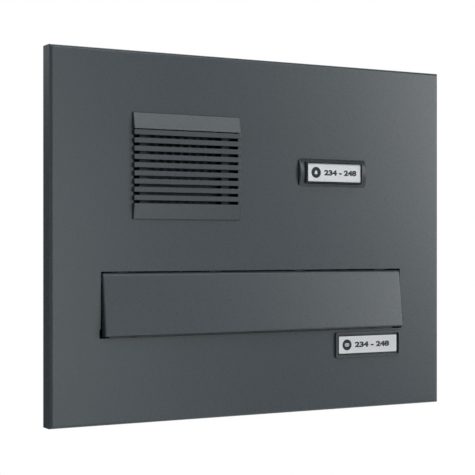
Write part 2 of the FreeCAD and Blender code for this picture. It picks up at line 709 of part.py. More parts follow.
def sound_screen():
    """Thin perforated sheet behind the rails that keeps insects out."""
    low = HOLE_BOTTOM + SCREEN_MARGIN
    high = HOLE_TOP - SCREEN_MARGIN
    width = GRILLE_W - 2 * (SLAT_HOLE_LAP + SCREEN_MARGIN)
    sheet = slab(GRILLE_CX, width, RAIL_Y1, RAIL_Y1 + SCREEN_T, (low + high) / 2, high - low)
    columns = int((width - SCREEN_PITCH) // SCREEN_PITCH)
    rows = int((high - low - SCREEN_PITCH) // SCREEN_PITCH)
    holes = []
    for i in range(columns + 1):
        for j in range(rows + 1):
            x = GRILLE_CX + (i - columns / 2) * SCREEN_PITCH
            z = (low + high) / 2 + (j - rows / 2) * SCREEN_PITCH
            holes.append(rod_y(x, z, RAIL_Y1, RAIL_Y1 + SCREEN_T, SCREEN_HOLE_R))
    return without(sheet, holes)


# ---------------------------------------------------------------- intercom parts
def spacers():
    """Tubes that hold the intercom bracket off the rails."""
    bore = GRILLE_STUD_R + LOOSE_FIT / 2
    return group([ring_y(x, z, SPACER_Y0, ICOM_Y0, SPACER_R, bore) for x, z in grille_stud_places()])


def intercom_bracket():
    """Plate on the four studs, with holes for the loudspeaker and the microphone."""
    low, high = STUD_ROWS
    width = 2 * RAIL_OFFSET + 2 * INTERCOM_PLATE_LAP
    height = high - low + 2 * INTERCOM_PLATE_LAP
    plate = slab(GRILLE_CX, width, ICOM_Y0, ICOM_Y1, GRILLE_CZ, height)
    holes = [rod_y(x, z, ICOM_Y0, ICOM_Y1, GRILLE_STUD_R + LOOSE_FIT / 2) for x, z in grille_stud_places()]
    holes.append(rod_y(GRILLE_CX, GRILLE_CZ, ICOM_Y0, ICOM_Y1, SPEAKER_HOLE_R))
    holes.append(rod_y(GRILLE_CX + MIC_OFFSET_X, GRILLE_CZ + MIC_OFFSET_Z, ICOM_Y0, ICOM_Y1, MIC_R))
    return without(plate, holes)


def speaker_basket():
    """Pressed frame of the loudspeaker: a rim, a sloping wall and a flat back."""
    rim_y = ICOM_Y1 + SPEAKER_RIM_T
    back_y = ICOM_Y1 + BASKET_D
    wall_r = SPEAKER_R - SPEAKER_RIM_T
    profile = [
        (SPEAKER_HOLE_R, ICOM_Y1),
        (SPEAKER_R, ICOM_Y1),
        (SPEAKER_R, rim_y),
        (wall_r, rim_y),
        (MAGNET_R, back_y),
        (0, back_y),
        (0, back_y - TRIM_T),
        (MAGNET_R - TRIM_T, back_y - TRIM_T),
        (SPEAKER_HOLE_R, rim_y),
    ]
    return turned_y(GRILLE_CX, GRILLE_CZ, profile)


def speaker_cone():
    """Paper cone and dome inside the basket."""
    throat_y = ICOM_Y1 + CONE_D
    profile = [
        (SPEAKER_HOLE_R, ICOM_Y1),
        (SPEAKER_HOLE_R, ICOM_Y1 + CONE_T),
        (CONE_THROAT_R, throat_y),
        (0, throat_y),
        (0, throat_y - CONE_T),
        (CONE_THROAT_R - CONE_T, throat_y - CONE_T),
        (SPEAKER_HOLE_R - 2 * CONE_T, ICOM_Y1),
    ]
    return turned_y(GRILLE_CX, GRILLE_CZ, profile)


def speaker_magnet():
    """Magnet on the back of the basket."""
    y0 = ICOM_Y1 + BASKET_D
    return rod_y(GRILLE_CX, GRILLE_CZ, y0, y0 + MAGNET_D, MAGNET_R)


def microphone():
    """Microphone capsule in a rubber collar."""
    x = GRILLE_CX + MIC_OFFSET_X
    z = GRILLE_CZ + MIC_OFFSET_Z
    y0 = ICOM_Y0 - MIC_LENGTH / 2
    capsule = rod_y(x, z, y0, y0 + MIC_LENGTH, MIC_R)
    collar = rod_y(x, z, ICOM_Y1, ICOM_Y1 + SPEAKER_RIM_T, MIC_COLLAR_R)
    return joined([capsule, collar])


# ---------------------------------------------------------------- function box
def function_box():
    """Walls of the sheet-metal box behind the grille and the bell, with a flange all round."""
    back_y = FBOX_DEPTH_IN_WALL - TRIM_T
    walls = slab(0, FBOX_W, FLANGE_Y, back_y, FBOX_CZ, FBOX_H)
    inside = slab(0, FBOX_W - 2 * TRIM_T, FLANGE_Y, back_y, FBOX_CZ, FBOX_H - 2 * TRIM_T)
    lip = flange(FBOX_W, FBOX_H, FBOX_CZ, FBOX_FLANGE_W, FLANGE_Y, FLANGE_Y + TRIM_T, fbox_stud_places())
    return joined([walls.cut(inside), lip])


def function_box_back():
    """Back of the box, with the hole for the grommet."""
    back_y = FBOX_DEPTH_IN_WALL - TRIM_T
    sheet = slab(0, FBOX_W, back_y, FBOX_DEPTH_IN_WALL, FBOX_CZ, FBOX_H)
    return sheet.cut(rod_y(GROMMET_X, GROMMET_Z, back_y, FBOX_DEPTH_IN_WALL, GROMMET_NECK_R))


def function_box_gasket():
    """Foam gasket between the function box and the plate."""
    return flange(FBOX_W, FBOX_H, FBOX_CZ, FBOX_FLANGE_W, BACK, FLANGE_Y, fbox_stud_places())


def cable_grommet():
    """Rubber grommet in the back of the function box, where the bell and intercom cable comes in."""
    inner = FBOX_DEPTH_IN_WALL - TRIM_T
    outer = FBOX_DEPTH_IN_WALL
    x, z, lip = GROMMET_X, GROMMET_Z, GROMMET_FLANGE_T
    neck = rod_y(x, z, inner - lip, outer + lip, GROMMET_NECK_R)
    flanges = [rod_y(x, z, y, y + lip, GROMMET_FLANGE_R) for y in (inner - lip, outer)]
    return without(joined([neck] + flanges), [rod_y(x, z, 0, outer + lip, GROMMET_BORE_R)])


# ---------------------------------------------------------------- bell push
def bell_screw_places():
    """The two screws at the ends of the bezel."""
    return [BELL_X - BELL_SCREW_OFFSET, BELL_X + BELL_SCREW_OFFSET]


def post_places():
    """The two guide posts of the button."""
    return [BELL_X - POST_OFFSET, BELL_X + POST_OFFSET]


def bezel_crown():
    """Solid with an arched section, flat on the plate, that bulges towards the front."""
    x0 = BELL_X - BEZEL_W / 2
    low = Vector(x0, FRONT, BELL_Z - BEZEL_H / 2)
    high = Vector(x0, FRONT, BELL_Z + BEZEL_H / 2)
    crown = Vector(x0, FRONT - BEZEL_RISE, BELL_Z)
    arc = Part.Arc(low, crown, high).toShape()
    section = Part.Face(Part.Wire([arc, Part.LineSegment(high, low).toShape()]))
    body = section.extrude(Vector(BEZEL_W, 0, 0))
    return body.makeFillet(BEZEL_EDGE_R, [e for e in body.Edges if not isinstance(e.Curve, Part.Line)])


def bell_bezel():
    """Arched bezel, with a rectangular neck that passes through the plate and guides the button."""
    neck = rounded_slab(BELL_X, NECK_W, FRONT, NECK_END, BELL_Z, NECK_H, CAP_CORNER_R + NECK_WALL)
    well_r = CAP_CORNER_R + LOOSE_FIT
    well = rounded_slab(BELL_X, WELL_W, FRONT - BEZEL_RISE, NECK_END, BELL_Z, WELL_H, well_r)
    tips = [rod_y(x, BELL_Z, FRONT - BELL_SCREW_GRIP, FRONT, BELL_SCREW_R) for x in bell_screw_places()]
    return without(joined([bezel_crown(), neck]), [well] + tips)


def bell_base():
    """Cup behind the plate that clamps the bezel and guides the button's posts."""
    width = NECK_W + 2 * BASE_SIDE_LIP
    height = NECK_H + 2 * BASE_LIP
    cup = slab(BELL_X, width, BACK, FLOOR_END, BELL_Z, height)
    inside = slab(BELL_X, width - 2 * BASE_WALL, BACK, NECK_END, BELL_Z, height - 2 * BASE_WALL)
    feet = [rod_y(BELL_X + dx, BELL_Z, FLOOR_END, BOARD_Y, STAND_OFF_R) for dx in (-STAND_OFF_X, STAND_OFF_X)]
    posts = [rod_y(x, BELL_Z, NECK_END, FLOOR_END, POST_R + RUN_FIT) for x in post_places()]
    screws = [rod_y(x, BELL_Z, NECK_END, FLOOR_END, BELL_SCREW_R) for x in bell_screw_places()]
    stem = rod_y(BELL_X, BELL_Z, NECK_END, FLOOR_END, STEM_R + 2 * LOOSE_FIT)
    return without(joined([cup.cut(inside)] + feet), posts + screws + [stem])


def bell_screws():
    """Screws from the base, through the plate, into the bezel."""
    screws = []
    for x in bell_screw_places():
        shank = rod_y(x, BELL_Z, FRONT - BELL_SCREW_GRIP, FLOOR_END, BELL_SCREW_R)
        head = rod_y(x, BELL_Z, FLOOR_END, FLOOR_END + BELL_HEAD_H, BELL_HEAD_R)
        screws.append(joined([shank, head]))
    return group(screws)


def bell_cap():
    """Clear cap of the button: a face and a skirt, with room for the label behind the face."""
    outer = rounded_slab(BELL_X, CAP_W, CAP_FRONT, CAP_FRONT + CAP_SKIRT, BELL_Z, CAP_H, CAP_CORNER_R)
    outer = front_eased(outer, CAP_EDGE_R)
    inside = slab(BELL_X, CAP_W - 2 * CAP_WALL, CAP_FRONT + CAP_FACE_T, CAP_FRONT + CAP_SKIRT, BELL_Z,
                  CAP_H - 2 * CAP_WALL)
    return without(outer, [inside])


def bell_label():
    """Label behind the face of the cap."""
    width = CAP_W - 2 * BELL_LABEL_INSET
    return slab(BELL_X, width, CAP_FRONT + CAP_FACE_T, CARRIER_Y0, BELL_Z, CAP_H - 2 * BELL_LABEL_INSET)


def bell_carrier():
    """Moulded carrier behind the label: a plate, a stem for the switch and two guide posts."""
    width = CAP_W - 2 * CAP_WALL - LOOSE_FIT
    height = CAP_H - 2 * CAP_WALL - LOOSE_FIT
    plate = slab(BELL_X, width, CARRIER_Y0, CARRIER_Y1, BELL_Z, height)
    stem = rod_y(BELL_X, BELL_Z, CARRIER_Y1, STEM_END, STEM_R)
    posts = [rod_y(x, BELL_Z, CARRIER_Y1, FLOOR_END + POST_TAIL - BELL_TRAVEL, POST_R) for x in post_places()]
    return joined([plate, stem] + posts)


def bell_springs():
    """Outer shape of the two return springs, round the posts."""
    bore = POST_R + LOOSE_FIT / 2
    return group([ring_y(x, BELL_Z, CARRIER_Y1, NECK_END, bore + SPRING_WIRE, bore) for x in post_places()])


def bell_clips():
    """Clips on the posts behind the base, which keep the button in."""
    return group([ring_y(x, BELL_Z, FLOOR_END, FLOOR_END + CLIP_T, CLIP_R, POST_R) for x in post_places()])


def bell_board():
    """Circuit board on the base's stand-offs."""
    return slab(BELL_X, BOARD_W, BOARD_Y, BOARD_Y + BOARD_T, BELL_Z, BOARD_H)


def bell_switch():
    """Push switch on the board, in line with the button's stem."""
    body = slab(BELL_X, SWITCH_SIZE, SWITCH_Y, BOARD_Y, BELL_Z, SWITCH_SIZE)
    nub = rod_y(BELL_X, BELL_Z, NUB_Y, SWITCH_Y, NUB_R)
    return joined([body, nub])


def bell_terminal():
    """Two-way screw terminal on the back of the board."""
    y0 = BOARD_Y + BOARD_T
    body = slab(BELL_X, TERMINAL_W, y0, y0 + TERMINAL_D, BELL_Z, TERMINAL_H)
    poles = (BELL_X - TERMINAL_W / 4, BELL_X + TERMINAL_W / 4)
    screws = [rod_y(x, BELL_Z, y0 + TERMINAL_D, y0 + TERMINAL_D + TERMINAL_SCREW_H, TERMINAL_SCREW_R)
              for x in poles]
    low = BELL_Z - TERMINAL_H / 2
    wires = [rod_z(x, y0 + TERMINAL_D / 2, low, low + WIRE_HOLE_DEPTH, WIRE_HOLE_R) for x in poles]
    return without(joined([body] + screws), wires)


# ---------------------------------------------------------------- name plate
def peg_places():
    """The two pegs of the name plate's frame."""
    return [NAME_X - PEG_OFFSET, NAME_X + PEG_OFFSET]


def nameplate_frame():
    """Moulded frame: a base, a raised ring round a groove, and two pegs through the plate."""
    ring_front = FRONT - NAME_RING_H
    body = rounded_slab(NAME_X, NAME_W, ring_front, FRONT, NAME_Z, NAME_H, NAME_CORNER_R)
    body = front_eased(body, NAME_EDGE_R)
    inner_w = NAME_W - 2 * NAME_RING_W
    inner_h = NAME_H - 2 * NAME_RING_W
    inner_r = NAME_CORNER_R - NAME_RING_W / 2
    pocket = rounded_slab(NAME_X, inner_w, ring_front, NAME_BED_Y, NAME_Z, inner_h, inner_r)
    groove = slab(NAME_X, inner_w, NAME_BED_Y, NAME_BED_Y + NAME_GROOVE_DEPTH, NAME_Z, inner_h)
    bed = slab(NAME_X, BED_W, NAME_BED_Y, NAME_BED_Y + NAME_GROOVE_DEPTH, NAME_Z, BED_H)
    pegs = [rod_y(x, NAME_Z, FRONT, FRONT + PEG_LENGTH, PEG_R) for x in peg_places()]
    return joined([without(body, [pocket, groove.cut(bed)])] + pegs)


def nameplate_label():
    """Label on the frame's bed."""
    return slab(NAME_X, BED_W - 2 * NAME_LABEL_INSET, NAME_BED_Y - LABEL_T, NAME_BED_Y, NAME_Z,
                BED_H - 2 * NAME_LABEL_INSET)


def nameplate_window():
    """Clear window over the label."""
    y1 = NAME_BED_Y - LABEL_T
    body = rounded_slab(NAME_X, BED_W, y1 - NAME_WINDOW_T, y1, NAME_Z, BED_H, NAME_RING_W / 2)
    return front_eased(body, NAME_WINDOW_EDGE_R)


def nameplate_clips():
    """Push-on clips that hold the pegs behind the plate."""
    return group([ring_y(x, NAME_Z, BACK, BACK + PEG_CLIP_T, PEG_CLIP_R, PEG_R) for x in peg_places()])


# ---------------------------------------------------------------- letter flap and its hinge
def arm_places():
    """Middles of the hinge arms."""
    return [share * FLAP_W for share in ARM_OFFSETS]


def arm_notch(x):
    """Cutter for the curl over one arm: it leaves only the front of the curl."""
    half = ARM_W / 2 + ARM_NOTCH_GAP
    turn = math.radians(ARM_CURL_SHARE)
    reach = 2 * CURL_OUT
    edge = (-reach * math.cos(turn), reach * math.sin(turn))
    return prism_x([(0, 0), edge, (reach, reach), (reach, -reach), (0, -reach)], x - half, x + half)


def flap_shell():
    """Flap without its curl, upright, with the pin's axis at the origin: face, side returns and hem."""
    half = FLAP_W / 2
    outline = [
        (-CURL_OUT, 0),
        (-CURL_OUT, -FLAP_LENGTH),
        (HEM_END, -FLAP_LENGTH),
        (CURL_TAIL, -CURL_OUT),
        (CURL_TAIL, 0),
    ]
    body = prism_x(outline, -half, half)
    front = [e for e in body.Edges if all(v.Y < RUN_FIT - CURL_OUT for v in e.Vertexes)]
    folds = [e for e in front if any(v.Z < -RUN_FIT for v in e.Vertexes)]
    body = body.makeFillet(FLAP_FOLD_R, folds)
    return body.cut(block(TRIM_T - half, half - TRIM_T, -CURL_IN, HEM_END, TRIM_T - FLAP_LENGTH, 0))


def flap_curl():
    """Curled top edge of the flap, closed at its ends and notched for the hinge arms."""
    half = FLAP_W / 2
    bar = rod_x(-half, half, 0, 0, CURL_OUT)
    bar = bar.makeFillet(FLAP_FOLD_R, [e for e in bar.Edges if e.isClosed()])
    bore = rod_x(TRIM_T - half, half - TRIM_T, 0, 0, CURL_IN)
    return without(bar, [bore, block(-half, half, -CURL_OUT, CURL_TAIL, -CURL_OUT, 0)]
                   + [arm_notch(x) for x in arm_places()])


def letter_flap():
    """Folded flap with a curled top edge. It leans out when it is closed."""
    flap = joined([flap_shell(), flap_curl()])
    flap.rotate(Vector(0, 0, 0), Vector(-1, 0, 0), FLAP_LEAN)
    flap.translate(Vector(0, FLAP_PIN_Y, FLAP_PIN_Z))
    return flap


def flap_hinge_pin():
    """Fixed pin inside the flap's curl."""
    half = FLAP_W / 2 - TRIM_T - LOOSE_FIT
    return rod_x(-half, half, FLAP_PIN_Y, FLAP_PIN_Z, FLAP_PIN_R)


def hinge_arm(x):
    """Bracket behind the plate whose arm is welded to the back of the pin."""
    y_up = FLAP_PIN_Y + ARM_STAND_OFF
    y_back = y_up + TRIM_T
    z_low = FLAP_PIN_Z - ARM_H / 2
    z_top = SLEEVE_TOP - TRIM_T - LOOSE_FIT
    z_foot = CUT_TOP + LOOSE_FIT
    bar = slab(x, ARM_W, FLAP_PIN_Y, y_back, FLAP_PIN_Z, ARM_H)
    upright = block(x - ARM_W / 2, x + ARM_W / 2, y_up, y_back, z_low, z_top)
    shelf = block(x - ARM_W / 2, x + ARM_W / 2, BACK, y_back, z_top - TRIM_T, z_top)
    foot = block(x - ARM_W / 2, x + ARM_W / 2, BACK, BACK + TRIM_T, z_foot, z_top)
    body = joined([bar, upright, shelf, foot])
    return body.cut(rod_x(x - ARM_W / 2, x + ARM_W / 2, FLAP_PIN_Y, FLAP_PIN_Z, FLAP_PIN_R))


def hinge_brackets():
    """All the hinge arms."""
    return group([hinge_arm(x) for x in arm_places()])


def slot_sill():
    """Rain sill behind the lower edge of the cut-out, which the closed flap's hem rests against."""
    half = FLAP_W / 2 - SILL_SIDE_GAP + TRIM_T
    z_top = CUT_BOTTOM + SILL_RISE
    web = block(-half, half, BACK, SILL_FRONT, CUT_BOTTOM - SILL_RISE, z_top)
    ledge = block(-half, half, BACK, BACK + SILL_LEDGE, z_top - TRIM_T, z_top)
    return joined([web, ledge])


def flap_bumpers():
    """Rubber buttons on the sill, just behind the hem."""
    z = FLAP_BOTTOM_Z + BUMPER_R - BUMPER_DROP
    y0 = HEM_REAR_Y + BUMPER_GAP
    return group([rod_y(share * FLAP_W, z, y0, BACK, BUMPER_R) for share in BUMPER_OFFSETS])


# ---------------------------------------------------------------- sleeves through the wall
def clamp_places():
    """(x, sign) of the screws that clamp the two sleeves: sign 1 on top, -1 below."""
    return [(x, sign) for x in (-CLAMP_OFFSET, CLAMP_OFFSET) for sign in (1, -1)]


def tube_y(width, top, bottom, y0, y1):
    """Rectangular sheet tube along Y, given its outside."""
    outer = block(-width / 2, width / 2, y0, y1, bottom, top)
    inner = block(TRIM_T - width / 2, width / 2 - TRIM_T, y0, y1, bottom + TRIM_T, top - TRIM_T)
    return outer.cut(inner)


def front_sleeve():
    """Sleeve fixed behind the plate, with a flange all round and threaded holes for the clamp screws."""
    tube = tube_y(SLEEVE_W, SLEEVE_TOP, SLEEVE_BOTTOM, FLANGE_Y, FRONT_SLEEVE_END)
    lip = flange(SLEEVE_W, SLEEVE_H, SLEEVE_CZ, FLANGE_W, FLANGE_Y, FLANGE_Y + TRIM_T, sleeve_stud_places())
    holes = [rod_z(x, CLAMP_Y, z, z + TRIM_T, CLAMP_R)
             for x, _ in clamp_places() for z in (SLEEVE_TOP - TRIM_T, SLEEVE_BOTTOM)]
    return without(joined([tube, lip]), holes)


def sleeve_gasket():
    """Foam gasket between the sleeve's flange and the plate."""
    return flange(SLEEVE_W, SLEEVE_H, SLEEVE_CZ, FLANGE_W, BACK, FLANGE_Y, sleeve_stud_places())


def clamp_screw(x, sign):
    """Screw through the rear sleeve's slot into the front sleeve."""
    surface = SLEEVE_TOP if sign > 0 else SLEEVE_BOTTOM
    under_head = surface + sign * (REAR_GROW + LOOSE_FIT)
    tip = surface - sign * (TRIM_T + CLAMP_GRIP)
    head_end = under_head + sign * CLAMP_HEAD_H
    shank = rod_z(x, CLAMP_Y, min(tip, under_head), max(tip, under_head), CLAMP_R)
    head = rod_z(x, CLAMP_Y, min(under_head, head_end), max(under_head, head_end), CLAMP_HEAD_R)
    return joined([shank, head])


def sleeve_clamp_screws():
    """The four clamp screws."""
    return group([clamp_screw(x, sign) for x, sign in clamp_places()])


def clamp_slot(x):
    """Cutter for the slots above and below at one x, as long as the rear sleeve's travel."""
    r = CLAMP_R + CLAMP_SLOT_GAP
    y0 = CLAMP_Y - SLEEVE_TRAVEL
    middle = block(x - r, x + r, y0, CLAMP_Y, REAR_BOTTOM, REAR_TOP)
    ends = [rod_z(x, y, REAR_BOTTOM, REAR_TOP, r) for y in (y0, CLAMP_Y)]
    return joined([middle] + ends)


def rear_sleeve():
    """Sleeve that slides over the front one, to suit the wall's thickness."""
    tube = tube_y(REAR_W, REAR_TOP, REAR_BOTTOM, REAR_SLEEVE_START, REAR_SLEEVE_END)
    return without(tube, [clamp_slot(-CLAMP_OFFSET), clamp_slot(CLAMP_OFFSET)])


# ---------------------------------------------------------------- rear frame and door
def rear_frame():
    """Four strips, butt-welded into a flat frame that covers the wall's edge and stops the door."""
    half, open_half = FRAME_W / 2, OPEN_W / 2
    spans = [
        (-half, half, OPEN_TOP, FRAME_TOP),
        (-half, half, FRAME_BOTTOM, OPEN_BOTTOM),
        (-half, -open_half, OPEN_BOTTOM, OPEN_TOP),
        (open_half, half, OPEN_BOTTOM, OPEN_TOP),
    ]
    return group([block(x0, x1, REAR_SLEEVE_END, FRAME_Y1, z0, z1) for x0, x1, z0, z1 in spans])


def rear_door():
    """Door: a skin with shallow returns towards the frame, and the hole for the lock."""
    tray = block(-DOOR_W / 2, DOOR_W / 2, DOOR_Y0, DOOR_Y1, DOOR_BOTTOM, DOOR_TOP)
    hollow = block(BRACKET_T - DOOR_W / 2, DOOR_W / 2 - BRACKET_T, DOOR_Y0, DOOR_SKIN_Y,
                   DOOR_BOTTOM + BRACKET_T, DOOR_TOP - BRACKET_T)
    return without(tray, [hollow, rod_y(LOCK_X, LOCK_Z, DOOR_SKIN_Y, DOOR_Y1, LOCK_BARREL_R)])


def door_seal():
    """Foam strip inside the door's edge that meets the frame."""
    outer_w = DOOR_W - 2 * (BRACKET_T + LOOSE_FIT)
    outer_h = DOOR_TOP - DOOR_BOTTOM - 2 * (BRACKET_T + LOOSE_FIT)
    cz = (DOOR_TOP + DOOR_BOTTOM) / 2
    y0 = FRAME_Y1 + SEAL_GAP
    ring = slab(0, outer_w, y0, DOOR_SKIN_Y, cz, outer_h)
    return ring.cut(slab(0, outer_w - 2 * SEAL_W, y0, DOOR_SKIN_Y, cz, outer_h - 2 * SEAL_W))


def knuckle(z0):
    """Hinge barrel with its bore."""
    barrel = rod_z(HINGE_X, HINGE_Y, z0, z0 + KNUCKLE_L, KNUCKLE_R)
    return barrel, rod_z(HINGE_X, HINGE_Y, z0, z0 + KNUCKLE_L, HINGE_PIN_R + RUN_FIT)


def fixed_leaf(z):
    """Hinge half on the frame: its barrel is below the door's."""
    z0 = z - KNUCKLE_L - KNUCKLE_GAP / 2
    barrel, bore = knuckle(z0)
    leaf = block(-FRAME_W / 2, HINGE_X, FRAME_Y1, FRAME_Y1 + HINGE_LEAF_T, z0, z0 + KNUCKLE_L)
    return joined([barrel, leaf]).cut(bore)


def moving_leaf(z):
    """Hinge half on the outside of the door."""
    z0 = z + KNUCKLE_GAP / 2
    barrel, bore = knuckle(z0)
    x1 = -DOOR_W / 2 + HINGE_LEAF_W
    leaf = block(HINGE_X, x1, DOOR_Y1, DOOR_Y1 + HINGE_LEAF_T, z0, z0 + KNUCKLE_L)
    return joined([barrel, leaf]).cut(bore)


def door_hinges_fixed():
    """Hinge halves on the frame."""
    return group([fixed_leaf(z) for z in HINGE_ROWS])


def door_hinges_moving():
    """Hinge halves on the door."""
    return group([moving_leaf(z) for z in HINGE_ROWS])


def door_hinge_pins():
    """Hinge pins, fixed in the frame's halves."""
    reach = KNUCKLE_L + KNUCKLE_GAP / 2
    return group([rod_z(HINGE_X, HINGE_Y, z - reach, z + reach, HINGE_PIN_R) for z in HINGE_ROWS])


# ---------------------------------------------------------------- cam lock
def lock_body():
    """Lock barrel with a flange outside the door, bored for the plug."""
    barrel = rod_y(LOCK_X, LOCK_Z, BARREL_Y0, DOOR_Y1, LOCK_BARREL_R)
    rose = rod_y(LOCK_X, LOCK_Z, DOOR_Y1, LOCK_FACE_Y, LOCK_FLANGE_R)
    return joined([barrel, rose]).cut(rod_y(LOCK_X, LOCK_Z, BARREL_Y0, LOCK_FACE_Y, PLUG_R + RUN_FIT))


def lock_nut():
    """Nut inside the door."""
    return hex_y(LOCK_X, LOCK_Z, DOOR_SKIN_Y - LOCK_NUT_H, DOOR_SKIN_Y, LOCK_NUT_AF, LOCK_BARREL_R)


def keyway(grow, y0, y1):
    """Upright slot for the key's blade, or the blade itself when grow is 0."""
    return slab(LOCK_X, KEY_T + 2 * grow, y0, y1, LOCK_Z, KEY_BLADE_H + 2 * grow)


def lock_plug():
    """Turning plug with its keyway."""
    plug = rod_y(LOCK_X, LOCK_Z, CAM_HUB_Y1, PLUG_Y1, PLUG_R)
    return plug.cut(keyway(KEY_FIT, PLUG_Y1 - KEY_BLADE_L - KEY_FIT, PLUG_Y1))


def lock_cam():
    """Cranked cam on the plug. It points up when the lock is open, and behind the frame when it is shut."""
    tip_y0 = CAM_TIP_Y1 - CAM_T
    hub = slab(LOCK_X, CAM_W, CAM_HUB_Y0, CAM_HUB_Y1, LOCK_Z + (CAM_HUB_REACH - CAM_W / 2) / 2,
               CAM_HUB_REACH + CAM_W / 2)
    crank_z = LOCK_Z + CAM_HUB_REACH
    crank = block(LOCK_X - CAM_W / 2, LOCK_X + CAM_W / 2, CAM_HUB_Y0, CAM_TIP_Y1, crank_z, crank_z + CAM_T)
    tip = block(LOCK_X - CAM_W / 2, LOCK_X + CAM_W / 2, tip_y0, CAM_TIP_Y1, crank_z, LOCK_Z + CAM_REACH)
    return joined([hub, crank, tip]).cut(rod_y(LOCK_X, LOCK_Z, CAM_HUB_Y0, CAM_HUB_Y1, CAM_SCREW_R))


def cam_screw():
    """Screw that holds the cam on the plug."""
    shank = rod_y(LOCK_X, LOCK_Z, CAM_HUB_Y0, CAM_HUB_Y1, CAM_SCREW_R)
    return joined([shank, rod_y(LOCK_X, LOCK_Z, CAM_HUB_Y0 - CAM_HEAD_H, CAM_HUB_Y0, CAM_HEAD_R)])


def key():
    """Flat key: blade, shoulder and a round bow with a hole for a ring."""
    blade = keyway(0, PLUG_Y1 - KEY_BLADE_L, PLUG_Y1 + KEY_SHOULDER)
    bow_y = PLUG_Y1 + KEY_SHOULDER + KEY_BOW_R - KEY_T / 2
    bow = rod_x(LOCK_X - KEY_T / 2, LOCK_X + KEY_T / 2, bow_y, LOCK_Z, KEY_BOW_R)
    hole = rod_x(LOCK_X - KEY_T / 2, LOCK_X + KEY_T / 2, bow_y + KEY_BOW_R / 2, LOCK_Z, KEY_BOW_HOLE_R)
    return joined([blade, bow]).cut(hole)


# ---------------------------------------------------------------- every node
NODES = {
    maker.__name__: maker
    for maker in (
        front_plate, plate_lock_screws, wall_rail_top, hook_rail, wall_brackets, weld_studs, stud_nuts,
        grille_hood, grille_apron, grille_slats, grille_rails, grille_studs, grille_nuts, sound_screen,
        spacers, intercom_bracket, speaker_basket, speaker_cone, speaker_magnet, microphone,
        function_box, function_box_back, function_box_gasket, cable_grommet,
        bell_bezel, bell_base, bell_screws, bell_cap, bell_label, bell_carrier, bell_springs, bell_clips,
        bell_board, bell_switch, bell_terminal,
        nameplate_frame, nameplate_label, nameplate_window, nameplate_clips,
        letter_flap, flap_hinge_pin, hinge_brackets, slot_sill, flap_bumpers,
        front_sleeve, sleeve_gasket, sleeve_clamp_screws, rear_sleeve,
        rear_frame, rear_door, door_seal, door_hinges_fixed, door_hinges_moving, door_hinge_pins,
        lock_body, lock_nut, lock_plug, lock_cam, cam_screw, key,
    )
}


def main():
    """Write one STEP file for each node."""
    os.makedirs("parts", exist_ok=True)
    for name, maker in NODES.items():
        maker().exportStep(f"parts/{name}.step")


main()
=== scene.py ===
import json
import logging
import math
from dataclasses import dataclass, field
from enum import Enum

import bpy
from mathutils import Matrix, Vector

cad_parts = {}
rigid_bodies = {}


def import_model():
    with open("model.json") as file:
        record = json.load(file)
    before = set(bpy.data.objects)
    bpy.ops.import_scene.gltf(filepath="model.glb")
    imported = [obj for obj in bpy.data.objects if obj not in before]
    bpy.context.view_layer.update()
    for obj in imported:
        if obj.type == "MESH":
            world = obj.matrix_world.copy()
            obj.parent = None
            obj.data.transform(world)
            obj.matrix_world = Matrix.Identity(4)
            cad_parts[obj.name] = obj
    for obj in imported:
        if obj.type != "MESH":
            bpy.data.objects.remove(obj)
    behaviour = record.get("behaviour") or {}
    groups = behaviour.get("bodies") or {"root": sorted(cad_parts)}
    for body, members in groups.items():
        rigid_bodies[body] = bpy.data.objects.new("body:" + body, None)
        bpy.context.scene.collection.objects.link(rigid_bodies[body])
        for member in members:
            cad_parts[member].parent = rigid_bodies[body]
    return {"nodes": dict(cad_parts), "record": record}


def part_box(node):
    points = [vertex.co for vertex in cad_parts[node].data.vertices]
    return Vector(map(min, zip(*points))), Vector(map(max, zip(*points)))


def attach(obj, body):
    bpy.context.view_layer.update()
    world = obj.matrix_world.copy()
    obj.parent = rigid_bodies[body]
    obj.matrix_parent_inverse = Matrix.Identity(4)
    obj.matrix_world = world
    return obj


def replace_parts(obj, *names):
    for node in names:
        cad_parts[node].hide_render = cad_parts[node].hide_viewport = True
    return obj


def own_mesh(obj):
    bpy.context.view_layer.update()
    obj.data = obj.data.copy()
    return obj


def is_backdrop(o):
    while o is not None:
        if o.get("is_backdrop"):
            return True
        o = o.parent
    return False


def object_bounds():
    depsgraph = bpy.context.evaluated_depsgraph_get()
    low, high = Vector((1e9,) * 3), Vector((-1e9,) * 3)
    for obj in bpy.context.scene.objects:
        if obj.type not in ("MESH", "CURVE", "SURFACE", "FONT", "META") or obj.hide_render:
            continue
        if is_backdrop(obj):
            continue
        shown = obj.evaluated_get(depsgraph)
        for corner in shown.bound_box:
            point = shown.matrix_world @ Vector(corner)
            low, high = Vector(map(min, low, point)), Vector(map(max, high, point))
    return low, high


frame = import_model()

LOG = logging.getLogger("mailbox")
MM = 0.001
SHARP = math.radians(35)  # an edge that turns more than this is bevelled
SMOOTH = math.radians(32)  # an edge that turns less than this is shaded smooth
WELD_GAP = 0.0001 * MM  # points closer than this are one point
HOUSE_NUMBERS = "234 - 248"

Colour = tuple[float, float, float]
Point = tuple[float, float, float]
Pair = tuple[float, float]
Outline = list[Pair]


class Plane(Enum):
    """Plane that a flat outline is drawn in, with the way that it faces."""

    FRONT = "seen from -Y, across is +X and up is +Z"
    REAR = "seen from +Y, across is -X and up is +Z"
    SIDE = "seen from +X, across is +Y and up is +Z"

    def turn(self) -> Matrix:
        """Rotation from the XY plane, seen from +Z, to this plane.

        Returns:
            The rotation.
        """
        rows = {
            Plane.FRONT: ((1, 0, 0), (0, 0, -1), (0, 1, 0)),
            Plane.REAR: ((-1, 0, 0), (0, 0, 1), (0, 1, 0)),
            Plane.SIDE: ((0, 0, 1), (1, 0, 0), (0, 1, 0)),
        }
        return Matrix(rows[self]).to_4x4()


